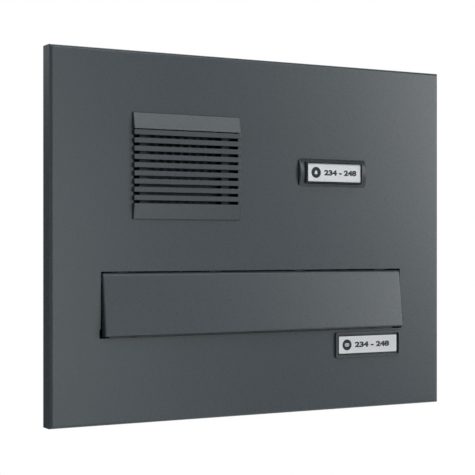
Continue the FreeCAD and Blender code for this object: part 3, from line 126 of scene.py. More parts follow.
class Sign(Enum):
    """Sign that is printed on a label."""

    BELL = "hand bell"
    ENVELOPE = "closed envelope"


# ---------------------------------------------------------------- mesh tools
def deselect() -> None:
    """Leave nothing selected."""
    bpy.ops.object.select_all(action="DESELECT")


def pick(piece: bpy.types.Object) -> None:
    """Select one object alone and make it active.

    Args:
        piece: The object.
    """
    deselect()
    piece.select_set(True)
    bpy.context.view_layer.objects.active = piece


def settle(piece: bpy.types.Object, turn: Matrix | None = None, place: Point = (0, 0, 0)) -> None:
    """Turn and move a piece, and put its place in its mesh.

    Args:
        piece: The mesh object.
        turn: Rotation that comes first.
        place: Where the piece's origin goes, in metres.
    """
    pick(piece)
    piece.matrix_world = Matrix.Translation(place) @ (turn or Matrix.Identity(4)) @ piece.matrix_world
    bpy.ops.object.transform_apply(location=True, rotation=True, scale=True)


def apply_modifier(piece: bpy.types.Object, kind: str, **values: object) -> None:
    """Add a modifier with its settings and apply it.

    Args:
        piece: The mesh object.
        kind: Modifier type.
        **values: Settings of the modifier.
    """
    pick(piece)
    modifier = piece.modifiers.new(kind.title(), kind)
    for key, value in values.items():
        setattr(modifier, key, value)
    bpy.ops.object.modifier_apply(modifier=modifier.name)


def chamfer(piece: bpy.types.Object, width: float, segments: int = 2) -> None:
    """Bevel the sharp edges of a piece.

    Args:
        piece: The mesh object.
        width: Width of the bevel in metres.
        segments: Steps of the bevel.
    """
    apply_modifier(piece, "BEVEL", width=width, segments=segments, limit_method="ANGLE", angle_limit=SHARP)


def cut_out(piece: bpy.types.Object, cutter: bpy.types.Object) -> None:
    """Cut one shape out of a piece, and remove the cutter.

    Args:
        piece: The mesh object.
        cutter: Closed mesh that is cut away.
    """
    apply_modifier(piece, "BOOLEAN", operation="DIFFERENCE", object=cutter, solver="EXACT")
    bpy.data.objects.remove(cutter)


def merge(pieces: list[bpy.types.Object], name: str) -> bpy.types.Object:
    """Join pieces into the first one.

    Args:
        pieces: The mesh objects.
        name: Name of the result.

    Returns:
        The joined object.
    """
    deselect()
    for piece in pieces:
        piece.select_set(True)
    bpy.context.view_layer.objects.active = pieces[0]
    if len(pieces) > 1:
        bpy.ops.object.join()
    pieces[0].name = name
    return pieces[0]


def twin(piece: bpy.types.Object, place: Point) -> bpy.types.Object:
    """Copy a piece that was modelled about the origin, with a mesh of its own, to a place.

    Args:
        piece: The mesh object.
        place: Where the copy's origin goes.

    Returns:
        The copy.
    """
    copy = piece.copy()
    copy.data = piece.data.copy()
    bpy.context.collection.objects.link(copy)
    settle(copy, place=place)
    return copy


def rod(name: str, radius: float, length: float, sides: int = 32) -> bpy.types.Object:
    """Upright rod that stands on the origin along +Z.

    Args:
        name: Name of the object.
        radius: Radius in metres.
        length: Length in metres.
        sides: Sides of its outline.

    Returns:
        The new object.
    """
    deselect()
    bpy.ops.mesh.primitive_cylinder_add(vertices=sides, radius=radius, depth=length,
                                        location=(0, 0, length / 2))
    made = bpy.context.active_object
    made.name = name
    settle(made)
    return made


def weld(piece: bpy.types.Object) -> None:
    """Merge doubled points and turn every face outwards.

    Args:
        piece: The mesh object.
    """
    pick(piece)
    bpy.ops.object.mode_set(mode="EDIT")
    bpy.ops.mesh.select_all(action="SELECT")
    bpy.ops.mesh.remove_doubles(threshold=WELD_GAP)
    bpy.ops.mesh.normals_make_consistent(inside=False)
    bpy.ops.object.mode_set(mode="OBJECT")


def sheet_of(name: str, loops: list[Outline], depth: float, edge: float, plane: Plane,
             place: Point) -> bpy.types.Object:
    """Flat outline with holes, given a thickness and eased edges.

    Args:
        name: Name of the object.
        loops: Outlines of (across, up) points in metres; the inner ones are holes.
        depth: Thickness in metres.
        edge: Width of the eased edges.
        plane: Plane that it lies in.
        place: Middle of its thickness at the outline's (0, 0).

    Returns:
        The new mesh object.
    """
    flat = bpy.data.curves.new(name, "CURVE")
    flat.dimensions = "2D"
    flat.fill_mode = "BOTH"
    flat.extrude = depth / 2 - edge
    flat.bevel_depth = edge
    flat.bevel_resolution = 1
    flat.offset = -edge
    for loop in loops:
        line = flat.splines.new("POLY")
        line.points.add(len(loop) - 1)
        for spot, (across, up) in zip(line.points, loop):
            spot.co = (across, up, 0, 1)
        line.use_cyclic_u = True
    made = bpy.data.objects.new(name, flat)
    bpy.context.collection.objects.link(made)
    pick(made)
    bpy.ops.object.convert(target="MESH")
    made = bpy.context.active_object
    weld(made)
    settle(made, plane.turn(), place)
    return made


def arc(centre: Pair, radius: float, start: float, end: float, steps: int) -> Outline:
    """Points along an arc.

    Args:
        centre: Centre of the arc.
        radius: Its radius.
        start: First angle in degrees.
        end: Last angle in degrees.
        steps: Number of parts.

    Returns:
        The points, ends included.
    """
    turns = [math.radians(start + (end - start) * i / steps) for i in range(steps + 1)]
    return [(centre[0] + radius * math.cos(t), centre[1] + radius * math.sin(t)) for t in turns]


def corners(node: str) -> tuple[Vector, Vector]:
    """Low and high corner of a CAD node's box."""
    low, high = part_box(node)
    return Vector(low), Vector(high)


def solid_middles(node: str) -> list[Pair]:
    """Middles (x, z) of the separate solids in one CAD node.

    Args:
        node: Name of the node.

    Returns:
        One pair for each solid.
    """
    copy = frame["nodes"][node].copy()
    copy.data = copy.data.copy()
    copy.hide_viewport = False
    bpy.context.collection.objects.link(copy)
    weld(copy)
    bpy.ops.object.mode_set(mode="EDIT")
    bpy.ops.mesh.select_all(action="SELECT")
    bpy.ops.mesh.separate(type="LOOSE")
    bpy.ops.object.mode_set(mode="OBJECT")
    found = []
    for part in bpy.context.view_layer.objects.selected[:]:
        ends = [part.matrix_world @ Vector(corner) for corner in part.bound_box]
        found.append((sum(end.x for end in ends) / len(ends), sum(end.z for end in ends) / len(ends)))
        bpy.data.objects.remove(part)
    return sorted(found)


# ---------------------------------------------------------------- node trees
class Tree:
    """Node tree, with a short call that adds a node and links it."""

    def __init__(self, tree: bpy.types.NodeTree) -> None:
        """Start with an empty tree.

        Args:
            tree: The tree to fill.
        """
        self.nodes, self.links = tree.nodes, tree.links
        self.nodes.clear()

    def node(self, kind: str, inputs: dict[str | int, object], **settings: object) -> bpy.types.Node:
        """Add a node.

        Args:
            kind: Node type.
            inputs: Values or sockets for its inputs, by name or number.
            **settings: Properties of the node.

        Returns:
            The new node.
        """
        made = self.nodes.new(kind)
        for key, value in settings.items():
            setattr(made, key, value)
        for key, value in inputs.items():
            if isinstance(value, bpy.types.NodeSocket):
                self.links.new(value, made.inputs[key])
            else:
                made.inputs[key].default_value = value
        return made


class Graph(Tree):
    """Node tree of one material, with short calls for the nodes that the finishes share."""

    def __init__(self, name: str) -> None:
        """Start a material with one Principled shader.

        Args:
            name: Name of the material.
        """
        self.material = bpy.data.materials.new(name)
        self.material.use_nodes = True
        super().__init__(self.material.node_tree)
        self.shader = self.nodes.new("ShaderNodeBsdfPrincipled")
        self.node("ShaderNodeOutputMaterial", {"Surface": self.shader.outputs[0]})
        self.place = self.nodes.new("ShaderNodeTexCoord").outputs["Object"]

    def set(self, **values: float | tuple) -> None:
        """Set constants on the shader's own sockets; an underscore stands for a space.

        Args:
            **values: Socket names and their values.
        """
        for key, value in values.items():
            self.shader.inputs[key.replace("_", " ")].default_value = value

    def feed(self, socket: str, source: bpy.types.NodeSocket) -> None:
        """Link a value to one of the shader's sockets."""
        self.links.new(source, self.shader.inputs[socket])

    def noise(self, scale: float, detail: float = 2.0, along: Point = (1, 1, 1)) -> bpy.types.NodeSocket:
        """Noise from 0 to 1.

        Args:
            scale: Cells in a metre.
            detail: Octaves.
            along: Stretch of the pattern; a small number makes long streaks along that axis.

        Returns:
            The value's socket.
        """
        stretched = self.node("ShaderNodeMapping", {"Vector": self.place, "Scale": along}).outputs[0]
        values = {"Vector": stretched, "Scale": scale, "Detail": detail}
        return self.node("ShaderNodeTexNoise", values).outputs["Fac"]

    def remap(self, value: bpy.types.NodeSocket, low: float, high: float, start: float = 0.3,
              end: float = 0.7) -> bpy.types.NodeSocket:
        """Spread a value over a range.

        Args:
            value: The value.
            low: Result at start.
            high: Result at end.
            start: Value that gives low.
            end: Value that gives high.

        Returns:
            The new value's socket.
        """
        values = {"Value": value, "From Min": start, "From Max": end, "To Min": low, "To Max": high}
        return self.node("ShaderNodeMapRange", values).outputs[0]

    def blend(self, share: bpy.types.NodeSocket, first: object, second: object) -> bpy.types.NodeSocket:
        """Mix two colours.

        Args:
            share: 0 for the first and 1 for the second.
            first: Colour or socket.
            second: Colour or socket.

        Returns:
            The mixed colour's socket.
        """
        return self.node("ShaderNodeMix", {0: share, 6: first, 7: second}, data_type="RGBA").outputs[2]

    def tones(self, share: bpy.types.NodeSocket, colour: Colour, first: float, second: float
              ) -> bpy.types.NodeSocket:
        """Spread one colour between two tones of it.

        Args:
            share: 0 for the first tone and 1 for the second.
            colour: The colour.
            first: Factor of the first tone.
            second: Factor of the second tone.

        Returns:
            The toned colour's socket.
        """
        return self.blend(share, shade(colour, first), shade(colour, second))

    def combine(self, how: str, first: object, second: object) -> bpy.types.NodeSocket:
        """Combine two values.

        Args:
            how: Operation of the math node.
            first: Number or socket.
            second: Number or socket.

        Returns:
            The result's socket, kept from 0 to 1.
        """
        return self.node("ShaderNodeMath", {0: first, 1: second}, operation=how, use_clamp=True).outputs[0]

    def eased_normal(self, radius: float) -> bpy.types.NodeSocket:
        """Normal that runs smoothly round edges of a radius in metres."""
        return self.node("ShaderNodeBevel", {"Radius": radius}, samples=4).outputs[0]

    def relief(self, height: bpy.types.NodeSocket, depth: float, strength: float = 1.0,
               normal: bpy.types.NodeSocket | None = None) -> bpy.types.NodeSocket:
        """Bump from a height.

        Args:
            height: Height from 0 to 1.
            depth: Depth in metres.
            strength: Strength of the bump.
            normal: Normal that it starts from.

        Returns:
            The bumped normal's socket.
        """
        values = {"Height": height, "Distance": depth, "Strength": strength}
        if normal is not None:
            values["Normal"] = normal
        return self.node("ShaderNodeBump", values).outputs[0]


def shade(colour: Colour, factor: float) -> tuple[float, float, float, float]:
    """A colour made lighter or darker, with alpha."""
    return (*(min(1.0, c * factor) for c in colour), 1.0)


# ---------------------------------------------------------------- finishes
@dataclass(frozen=True)
class Finish:
    """What every finish has: its slot in the record and its middle colour."""

    slot: str
    colour: Colour

    def make(self) -> bpy.types.Material:
        """Build the material.

        Returns:
            The new material.
        """
        graph = Graph(self.slot)
        self.draw(graph)
        return graph.material

    def draw(self, graph: Graph) -> None:
        """Fill the node tree."""
        raise NotImplementedError


@dataclass(frozen=True)
class PowderCoat(Finish):
    """Baked powder paint: a faint orange peel, small tone changes, and thinner paint along edges."""

    rough: float = 0.38
    rough_spread: float = 0.012
    peel: float = 0.01 * MM
    edge: float = 0.4 * MM
    worn: float = 1.5
    wear_reach: float = 0.3
    speck: float = 1.06

    def draw(self, graph: Graph) -> None:
        """Fill the node tree.

        Args:
            graph: Node tree of the new material.
        """
        eased = graph.eased_normal(self.edge)
        tone = graph.tones(graph.remap(graph.noise(14, 3), 0, 1), self.colour, 0.96, 1.04)
        specks = graph.remap(graph.noise(1900), 0, 0.25, 0.55, 0.8)
        tone = graph.blend(specks, tone, shade(self.colour, self.speck))
        worn = shade(self.colour, self.worn)
        graph.feed("Base Color", graph.blend(self.wear(graph, eased), tone, worn))
        graph.feed("Roughness", graph.remap(graph.noise(900), self.rough - self.rough_spread,
                                            self.rough + self.rough_spread))
        graph.feed("Normal", graph.relief(graph.noise(1250), self.peel, 0.1, eased))

    def wear(self, graph: Graph, eased: bpy.types.NodeSocket) -> bpy.types.NodeSocket:
        """Share of wear near edges, broken up by noise.

        Args:
            graph: Node tree of the new material.
            eased: Normal that runs smoothly round the edges.

        Returns:
            The share's socket.
        """
        true = graph.node("ShaderNodeNewGeometry", {}).outputs["True Normal"]
        dot = graph.node("ShaderNodeVectorMath", {0: eased, 1: true}, operation="DOT_PRODUCT")
        near = graph.remap(dot.outputs["Value"], 1, 0, 1 - self.wear_reach, 1 - self.wear_reach / 8)
        return graph.combine("MULTIPLY", near, graph.remap(graph.noise(160, 4), 0.15, 1.0))


@dataclass(frozen=True)
class Galvanised(Finish):
    """Hot-dipped zinc: crystals a few millimetres across, dull grey and a little cloudy."""

    crystal: float = 150.0
    rough: Pair = (0.34, 0.5)
    cloud: float = 0.78

    def draw(self, graph: Graph) -> None:
        """Fill the node tree.

        Args:
            graph: Node tree of the new material.
        """
        values = {"Vector": graph.place, "Scale": self.crystal, "Randomness": 1.0}
        crystals = graph.node("ShaderNodeTexVoronoi", values).outputs["Color"]
        grey = graph.node("ShaderNodeSeparateColor", {"Color": crystals}).outputs[0]
        clouds = graph.noise(22, 4)
        tone = graph.tones(grey, self.colour, 0.86, 1.12)
        cloudy = shade(self.colour, self.cloud)
        graph.feed("Base Color", graph.blend(graph.remap(clouds, 0, 0.5), tone, cloudy))
        graph.set(Metallic=1.0)
        graph.feed("Roughness", graph.combine("ADD", graph.remap(grey, *self.rough, 0, 1),
                                              graph.remap(clouds, 0, 0.08)))
        graph.feed("Normal", graph.relief(graph.noise(700), 0.03 * MM, 0.35, graph.eased_normal(0.3 * MM)))


@dataclass(frozen=True)
class Steel(Finish):
    """Bare or plated steel, drawn or turned along one axis."""

    rough: float = 0.3
    streak: Point = (1, 1, 1)
    grain: float = 900.0

    def draw(self, graph: Graph) -> None:
        """Fill the node tree.

        Args:
            graph: Node tree of the new material.
        """
        lines = graph.noise(self.grain, 3, self.streak)
        blotch = graph.noise(70, 3)
        tone = graph.tones(graph.remap(lines, 0, 1), self.colour, 0.88, 1.1)
        dull = shade(self.colour, 0.75)
        graph.feed("Base Color", graph.blend(graph.remap(blotch, 0, 0.4), tone, dull))
        graph.set(Metallic=1.0)
        graph.feed("Roughness", graph.remap(lines, self.rough - 0.07, self.rough + 0.09))
        graph.feed("Normal", graph.relief(lines, 0.02 * MM, 0.4, graph.eased_normal(0.2 * MM)))


@dataclass(frozen=True)
class ThreadedSteel(Steel):
    """Plated steel with a thread along Y, drawn as relief."""

    pitch: float = 0.7 * MM
    wave_factor: float = 20.0  # what the wave texture multiplies a coordinate by

    def draw(self, graph: Graph) -> None:
        """Fill the node tree.

        Args:
            graph: Node tree of the new material.
        """
        super().draw(graph)
        values = {"Vector": graph.place, "Scale": math.tau / self.pitch / self.wave_factor}
        wave = graph.node("ShaderNodeTexWave", values, bands_direction="Y",
                          wave_profile="TRI").outputs["Fac"]
        graph.feed("Normal", graph.relief(wave, 0.3 * MM, 0.8))
        graph.feed("Roughness", graph.remap(wave, self.rough + 0.15, self.rough, 0, 1))


@dataclass(frozen=True)
class Moulded(Finish):
    """Moulded plastic or rubber with a fine spark-eroded texture."""

    rough: float = 0.5
    grain: float = 1600.0
    depth: float = 0.04 * MM
    spread: float = 0.08

    def draw(self, graph: Graph) -> None:
        """Fill the node tree.

        Args:
            graph: Node tree of the new material.
        """
        fine = graph.noise(self.grain, 3)
        graph.feed("Base Color", graph.tones(graph.remap(graph.noise(60), 0, 1), self.colour, 0.9, 1.12))
        graph.feed("Roughness", graph.remap(fine, self.rough - self.spread, self.rough + self.spread))
        graph.feed("Normal", graph.relief(fine, self.depth, 0.6, graph.eased_normal(0.3 * MM)))


@dataclass(frozen=True)
class ClearPlastic(Finish):
    """Thin clear moulding: see-through when faced squarely, and glossy towards its edges."""

    haze: float = 0.06
    haze_spread: float = 0.05
    index: float = 1.49
    cover: Pair = (0.01, 0.8)

    def draw(self, graph: Graph) -> None:
        """Fill the node tree.

        Args:
            graph: Node tree of the new material.
        """
        graph.feed("Base Color", graph.tones(graph.remap(graph.noise(90), 0, 1), self.colour, 0.97, 1.0))
        graph.feed("Alpha", self.facing(graph))
        graph.feed("Roughness", graph.remap(graph.noise(300, 3), self.haze, self.haze + self.haze_spread))
        graph.feed("Normal", graph.relief(graph.noise(55), 0.02 * MM, 0.3))
        graph.set(IOR=self.index)

    def facing(self, graph: Graph) -> bpy.types.NodeSocket:
        """Cover that grows as the surface turns away from the eye.

        Args:
            graph: Node tree of the new material.

        Returns:
            The cover's socket.
        """
        fresnel = graph.node("ShaderNodeFresnel", {"IOR": self.index}).outputs[0]
        return graph.remap(fresnel, *self.cover, 0.045, 0.6)


@dataclass(frozen=True)
class ShadeFramedWindow(ClearPlastic):
    """Clear moulding with a window, and glossy black outside it: painted shade for the shaded skirt of the
    bell cap and the gap round it.
    """

    haze_spread: float = 0.06
    # painted shade: near-black that stands in for the shade on the cap's skirt and in the gap round it
    black: Colour = (0.012, 0.013, 0.014)
    window: tuple[Point, Point] = ((0, 0, 0), (0, 0, 0))
    blur: float = 0.2 * MM

    def draw(self, graph: Graph) -> None:
        """Fill the node tree.

        Args:
            graph: Node tree of the new material.
        """
        super().draw(graph)
        inside = self.inside(graph)
        speck = graph.remap(graph.noise(90), 0, 1)
        clear = graph.tones(speck, self.colour, 0.97, 1.0)
        # painted shade: outside the window the near-black takes the place of the clear tint
        graph.feed("Base Color", graph.blend(inside, graph.tones(speck, self.black, 0.9, 1.2), clear))
        values = {"Value": inside, "To Min": 1.0, "To Max": self.facing(graph)}
        graph.feed("Alpha", graph.node("ShaderNodeMapRange", values).outputs[0])
        graph.feed("Normal", graph.relief(graph.noise(55), 0.02 * MM, 0.3, graph.eased_normal(0.4 * MM)))

    def inside(self, graph: Graph) -> bpy.types.NodeSocket:
        """1 inside the window, across X and Z, and 0 outside it.

        Args:
            graph: Node tree of the new material.

        Returns:
            The share's socket.
        """
        spot = graph.node("ShaderNodeSeparateXYZ", {0: graph.place}).outputs
        low, high = self.window
        shares = []
        for axis in (0, 2):
            shares.append(graph.remap(spot[axis], 0, 1, low[axis], low[axis] + self.blur))
            shares.append(graph.remap(spot[axis], 1, 0, high[axis] - self.blur, high[axis]))
        product = shares[0]
        for share in shares[1:]:
            product = graph.combine("MULTIPLY", product, share)
        return product


@dataclass(frozen=True)
class Paper(Finish):
    """Printed label stock: short fibres, and a slightly uneven tone."""

    fibre: float = 2600.0
    rough: float = 0.55

    def draw(self, graph: Graph) -> None:
        """Fill the node tree.

        Args:
            graph: Node tree of the new material.
        """
        fibres = graph.noise(self.fibre, 4, (0.35, 1, 1))
        tone = graph.tones(graph.remap(fibres, 0, 1), self.colour, 0.955, 1.03)
        aged = shade(self.colour, 0.96)
        graph.feed("Base Color", graph.blend(graph.remap(graph.noise(45), 0, 0.5), tone, aged))
        graph.feed("Roughness", graph.remap(fibres, self.rough - 0.06, self.rough + 0.08))
        graph.feed("Normal", graph.relief(fibres, 0.02 * MM, 0.4))


@dataclass(frozen=True)
class Foam(Finish):
    """Open-cell foam: painted shade darkens the middle of each pore, and the walls between them are
    lighter.
    """

    cell: float = 1100.0

    def draw(self, graph: Graph) -> None:
        """Fill the node tree.

        Args:
            graph: Node tree of the new material.
        """
        values = {"Vector": graph.place, "Scale": self.cell}
        pores = graph.node("ShaderNodeTexVoronoi", values).outputs["Distance"]
        # painted shade: darker towards the middle of each pore, lighter on the walls between
        graph.feed("Base Color", graph.tones(graph.remap(pores, 1, 0, 0.1, 0.7), self.colour, 1.2, 0.45))
        graph.feed("Roughness", graph.remap(graph.noise(200), 0.82, 0.95))
        graph.feed("Normal", graph.relief(pores, 0.3 * MM, 0.7))


@dataclass(frozen=True)
class CircuitBoard(Finish):
    """Solder mask over copper tracks."""

    track: float = 260.0

    def draw(self, graph: Graph) -> None:
        """Fill the node tree.

        Args:
            graph: Node tree of the new material.
        """
        values = {"Vector": graph.place, "Scale": self.track, "Randomness": 0.0}
        tracks = graph.node("ShaderNodeTexVoronoi", values, distance="MANHATTAN").outputs["Distance"]
        copper = graph.remap(tracks, 0, 1, 0.42, 0.46)
        graph.feed("Base Color", graph.tones(copper, self.colour, 0.9, 1.7))
        graph.feed("Roughness", graph.remap(graph.noise(500), 0.25, 0.38))
        graph.feed("Normal", graph.relief(copper, 0.04 * MM, 0.6))


@dataclass(frozen=True)
class PaperCone(Finish):
    """Pressed paper pulp with ribs round the cone."""

    centre: Point = (0, 0, 0)
    ribs: float = 90.0

    def draw(self, graph: Graph) -> None:
        """Fill the node tree.

        Args:
            graph: Node tree of the new material.
        """
        back = tuple(-c for c in self.centre)
        moved = graph.node("ShaderNodeMapping", {"Vector": graph.place, "Location": back}).outputs[0]
        rings = graph.node("ShaderNodeTexWave", {"Vector": moved, "Scale": self.ribs}, wave_type="RINGS",
                           rings_direction="Y").outputs["Fac"]
        fibre = graph.noise(1500, 4)
        graph.feed("Base Color", graph.tones(graph.remap(fibre, 0, 1), self.colour, 0.8, 1.4))
        graph.feed("Roughness", graph.remap(fibre, 0.75, 0.92))
        graph.feed("Normal", graph.relief(rings, 0.3 * MM, 0.6))


ZINC_PLATE: Colour = (0.6, 0.6, 0.57)
CLEAR: Colour = (0.1, 0.105, 0.11)
FINISHES: tuple[Finish, ...] = (
    PowderCoat("anthracite_paint", (0.0185, 0.0255, 0.030), rough=0.28),
    # painted shade: near-black, darker than the outside paint, so that the inside parts seen through gaps
    # read as shade
    PowderCoat("dark_interior_paint", (0.012, 0.013, 0.015), rough=0.55),
    PowderCoat("white_paint", (0.74, 0.75, 0.74), rough=0.34, worn=0.86),
    Galvanised("galvanised_steel", (0.5, 0.52, 0.53)),
    Steel("plated_fixings", ZINC_PLATE, rough=0.32, grain=1400),
    Steel("hinge_steel", (0.55, 0.55, 0.54), rough=0.28, streak=(0.05, 1, 1)),
    Steel("spring_steel", (0.6, 0.6, 0.62), rough=0.22, grain=1800),
    Steel("lock_chrome", (0.78, 0.79, 0.8), rough=0.14, grain=500),
    Steel("key_nickel", (0.68, 0.66, 0.62), rough=0.26, streak=(1, 0.06, 1)),
    Moulded("black_plastic", (0.018, 0.019, 0.021)),
    Moulded("black_rubber", (0.016, 0.016, 0.016), rough=0.72, grain=900),
    Moulded("terminal_plastic", (0.03, 0.2, 0.08), rough=0.42),
    Moulded("magnet_ferrite", (0.05, 0.05, 0.052), rough=0.6, grain=700, depth=0.1 * MM),
    ClearPlastic("clear_plastic", CLEAR),
    Paper("label_stock", (0.95, 0.955, 0.955)),
    Foam("grey_foam", (0.1, 0.1, 0.105)),
    CircuitBoard("circuit_board", (0.012, 0.12, 0.045)),
)
THREAD = ThreadedSteel("plated_thread", ZINC_PLATE, rough=0.32, grain=1400)
NAME_CARD = Paper("name_card", (0.85, 0.855, 0.86))
INK = Paper("label_ink", (0.012, 0.014, 0.016), rough=0.6)


@dataclass
class Dresser:
    """Gives every CAD node and every new piece its finish."""

    materials: dict[str, bpy.types.Material] = field(default_factory=dict)

    def prepare(self) -> None:
        """Build every finish, and dress every CAD node with the one that its slot names."""
        low, high = corners("speaker_cone")
        cone = PaperCone("speaker_paper", (0.03, 0.029, 0.028), tuple((low + high) / 2))
        cap = ShadeFramedWindow("shade_framed_window", CLEAR, window=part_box("bell_label"))
        for finish in (*FINISHES, THREAD, NAME_CARD, INK, cone, cap):
            self.materials[finish.slot] = finish.make()
        for part in frame["record"]["subparts"]:
            self.dress(frame["nodes"][part["node"]], part["material_slot"])
        for node, finish in (("weld_studs", THREAD), ("grille_studs", THREAD), ("bell_cap", cap)):
            self.dress(frame["nodes"][node], finish.slot)

    def dress(self, piece: bpy.types.Object, finish: str) -> None:
        """Give a piece one finish."""
        piece.data.materials.clear()
        piece.data.materials.append(self.materials[finish])

    def fit(self, piece: bpy.types.Object, body: str, slot: str,
            finish: str | None = None) -> bpy.types.Object:
        """Dress a finished new piece and let it ride with a body.

        Args:
            piece: The mesh object.
            body: Body that it rides with.
            slot: The record's slot that it takes its finish from.
            finish: Finish, where it isn't the slot's own.

        Returns:
            The piece.
        """
        self.dress(piece, finish or slot)
        pick(piece)
        bpy.ops.object.shade_smooth_by_angle(angle=SMOOTH)
        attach(piece, body)
        LOG.info("%s rides with %s in %s", piece.name, body, slot)
        return piece


# ---------------------------------------------------------------- sub-assemblies
@dataclass
class Pictogram:
    """Small printed signs: a disc of ink with the sign left open in it, and house numbers."""

    ink: float = 0.06 * MM
    radius: float = 5.7 * MM
    bold: float = 0.3 * MM
    share: float = 0.72

    def disc(self, name: str, sign: Sign, place: Point) -> bpy.types.Object:
        """Disc of ink with openings that show the card.

        Args:
            name: Name of the piece.
            sign: Sign that the openings draw.
            place: Middle of the sign.

        Returns:
            The ink piece.
        """
        rim = arc((0, 0), self.radius, 0, 355, 71)
        scale = self.radius * self.share
        openings = self.bell() if sign is Sign.BELL else self.envelope()
        holes = [[(across * scale, up * scale) for across, up in loop] for loop in openings]
        return sheet_of(name, [rim, *holes], self.ink, 0, Plane.FRONT, place)

    def envelope(self) -> list[Outline]:
        """Closed envelope: a pointed flap over three folded sides.

        Returns:
            Its outlines in shares of the disc's radius.
        """
        flap = [(-0.56, 0.42), (0.56, 0.42), (0, -0.02)]
        side = [(-0.64, 0.34), (-0.64, -0.34), (-0.24, 0.03)]
        base = [(-0.56, -0.42), (0.56, -0.42), (0.16, -0.04), (0, -0.17), (-0.16, -0.04)]
        return [flap, side, [(-x, y) for x, y in reversed(side)], base]

    def bell(self) -> list[Outline]:
        """Hand bell: a domed body with a flared foot, and a clapper.

        Returns:
            Its outlines in shares of the disc's radius.
        """
        knob = arc((0, 0.5), 0.1, 30, 150, 6)
        foot = [(-0.4, -0.16), (-0.56, -0.36), (0.56, -0.36), (0.4, -0.16)]
        body = arc((0, 0.1), 0.36, 0, 70, 8) + knob + arc((0, 0.1), 0.36, 110, 180, 8) + foot
        return [body, arc((0, -0.46), 0.15, 180, 360, 10)]

    def number(self, name: str, words: str, place: Point, size: Pair) -> bpy.types.Object:
        """House numbers in plain bold figures.

        Args:
            name: Name of the piece.
            words: The figures.
            place: Left end of the line, at mid height.
            size: Width and height of the line in metres.

        Returns:
            The ink piece.
        """
        deselect()
        bpy.ops.object.text_add()
        text = bpy.context.active_object
        text.name = name
        text.data.body = words
        text.data.size = size[1]
        text.data.extrude = self.ink / 2
        text.data.offset = self.bold
        pick(text)
        bpy.ops.object.convert(target="MESH")
        made = bpy.context.active_object
        weld(made)
        low, high = (Vector(made.bound_box[i]) for i in (0, 6))
        fit = Matrix.Diagonal((size[0] / (high.x - low.x), size[1] / (high.y - low.y), 1, 1))
        settle(made, fit @ Matrix.Translation((-low.x, -(low.y + high.y) / 2, 0)))
        settle(made, Plane.FRONT.turn(), place)
        return made


@dataclass
class Label:
    """Printed label: a card with a sign on its left and a number beside it."""

    node: str
    body: str
    sign: Sign
    words_width: float
    finish: str = "label_stock"
    card: float = 0.3 * MM
    corner: float = 0.8 * MM
    margin: float = 5.0 * MM
    gap: float = 4.2 * MM
    words_height: float = 5.8 * MM
    # shade_border: width of a band of ink round the card's edge, painted shade for the groove between the
    # card and its frame; 0 leaves it out
    shade_border: float = 0.0

    def build(self, dresser: Dresser, signs: Pictogram) -> None:
        """Make the card and its print, in place of the plain CAD label.

        Args:
            dresser: Gives the pieces their finish.
            signs: Draws the print.
        """
        low, high = corners(self.node)
        centre = (low + high) / 2
        outline = self.outline(high.x - centre.x, high.z - centre.z)
        card = sheet_of(f"{self.node}_card", [outline], self.card, 0, Plane.FRONT,
                        (centre.x, high.y - self.card / 2, centre.z))
        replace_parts(dresser.fit(card, self.body, "label_stock", self.finish), self.node)
        ink_y = high.y - self.card - signs.ink / 2
        sign_x = low.x + self.margin + signs.radius
        words_x = sign_x + signs.radius + self.gap
        prints = [signs.disc(f"{self.node}_sign", self.sign, (sign_x, ink_y, centre.z)),
                  signs.number(f"{self.node}_number", HOUSE_NUMBERS, (words_x, ink_y, centre.z),
                               (self.words_width, self.words_height))]
        # painted shade: a band of ink along the card's edge, for the groove round it
        if self.shade_border:
            inner = [(x - math.copysign(self.shade_border, x), z - math.copysign(self.shade_border, z))
                     for x, z in outline]
            prints.append(sheet_of(f"{self.node}_border", [outline, inner], signs.ink, 0, Plane.FRONT,
                                   (centre.x, ink_y, centre.z)))
        dresser.fit(merge(prints, f"{self.node}_print"), self.body, "label_stock", INK.slot)

    def outline(self, half_width: float, half_height: float) -> Outline:
        """Rounded oblong of the card, about its middle.

        Args:
            half_width: Half its width.
            half_height: Half its height.

        Returns:
            The points.
        """
        in_w, in_h = half_width - self.corner, half_height - self.corner
        middles = ((in_w, in_h), (-in_w, in_h), (-in_w, -in_h), (in_w, -in_h))
        return [point for turn, middle in enumerate(middles)
                for point in arc(middle, self.corner, 90 * turn, 90 * turn + 90, 5)]


@dataclass
class BezelEnds:
    """Black plugs that close the bezel's two hollow ends."""

    proud: float = 0.4 * MM
    lip: float = 0.45 * MM
    edge: float = 0.08 * MM

    def build(self, dresser: Dresser) -> None:
        """Make one plug on each end of the bezel.

        Args:
            dresser: Gives the pieces their finish.
        """
        low, high = corners("bell_bezel")
        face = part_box("front_plate")[0][1]
        rise, half = face - low.y - self.lip, (high.z - low.z) / 2 - self.lip * 2
        radius = (half ** 2 + rise ** 2) / (2 * rise)
        spread = math.degrees(math.asin(half / radius))
        outline = arc((radius - rise, 0), radius, 180 - spread, 180 + spread, 32)
        z = (low.z + high.z) / 2
        plugs = [sheet_of("plug", [outline], self.proud, self.edge, Plane.SIDE, (x, face, z))
                 for x in (low.x - self.proud / 2, high.x + self.proud / 2)]
        dresser.fit(merge(plugs, "bezel_end_plugs"), "plate", "black_rubber")


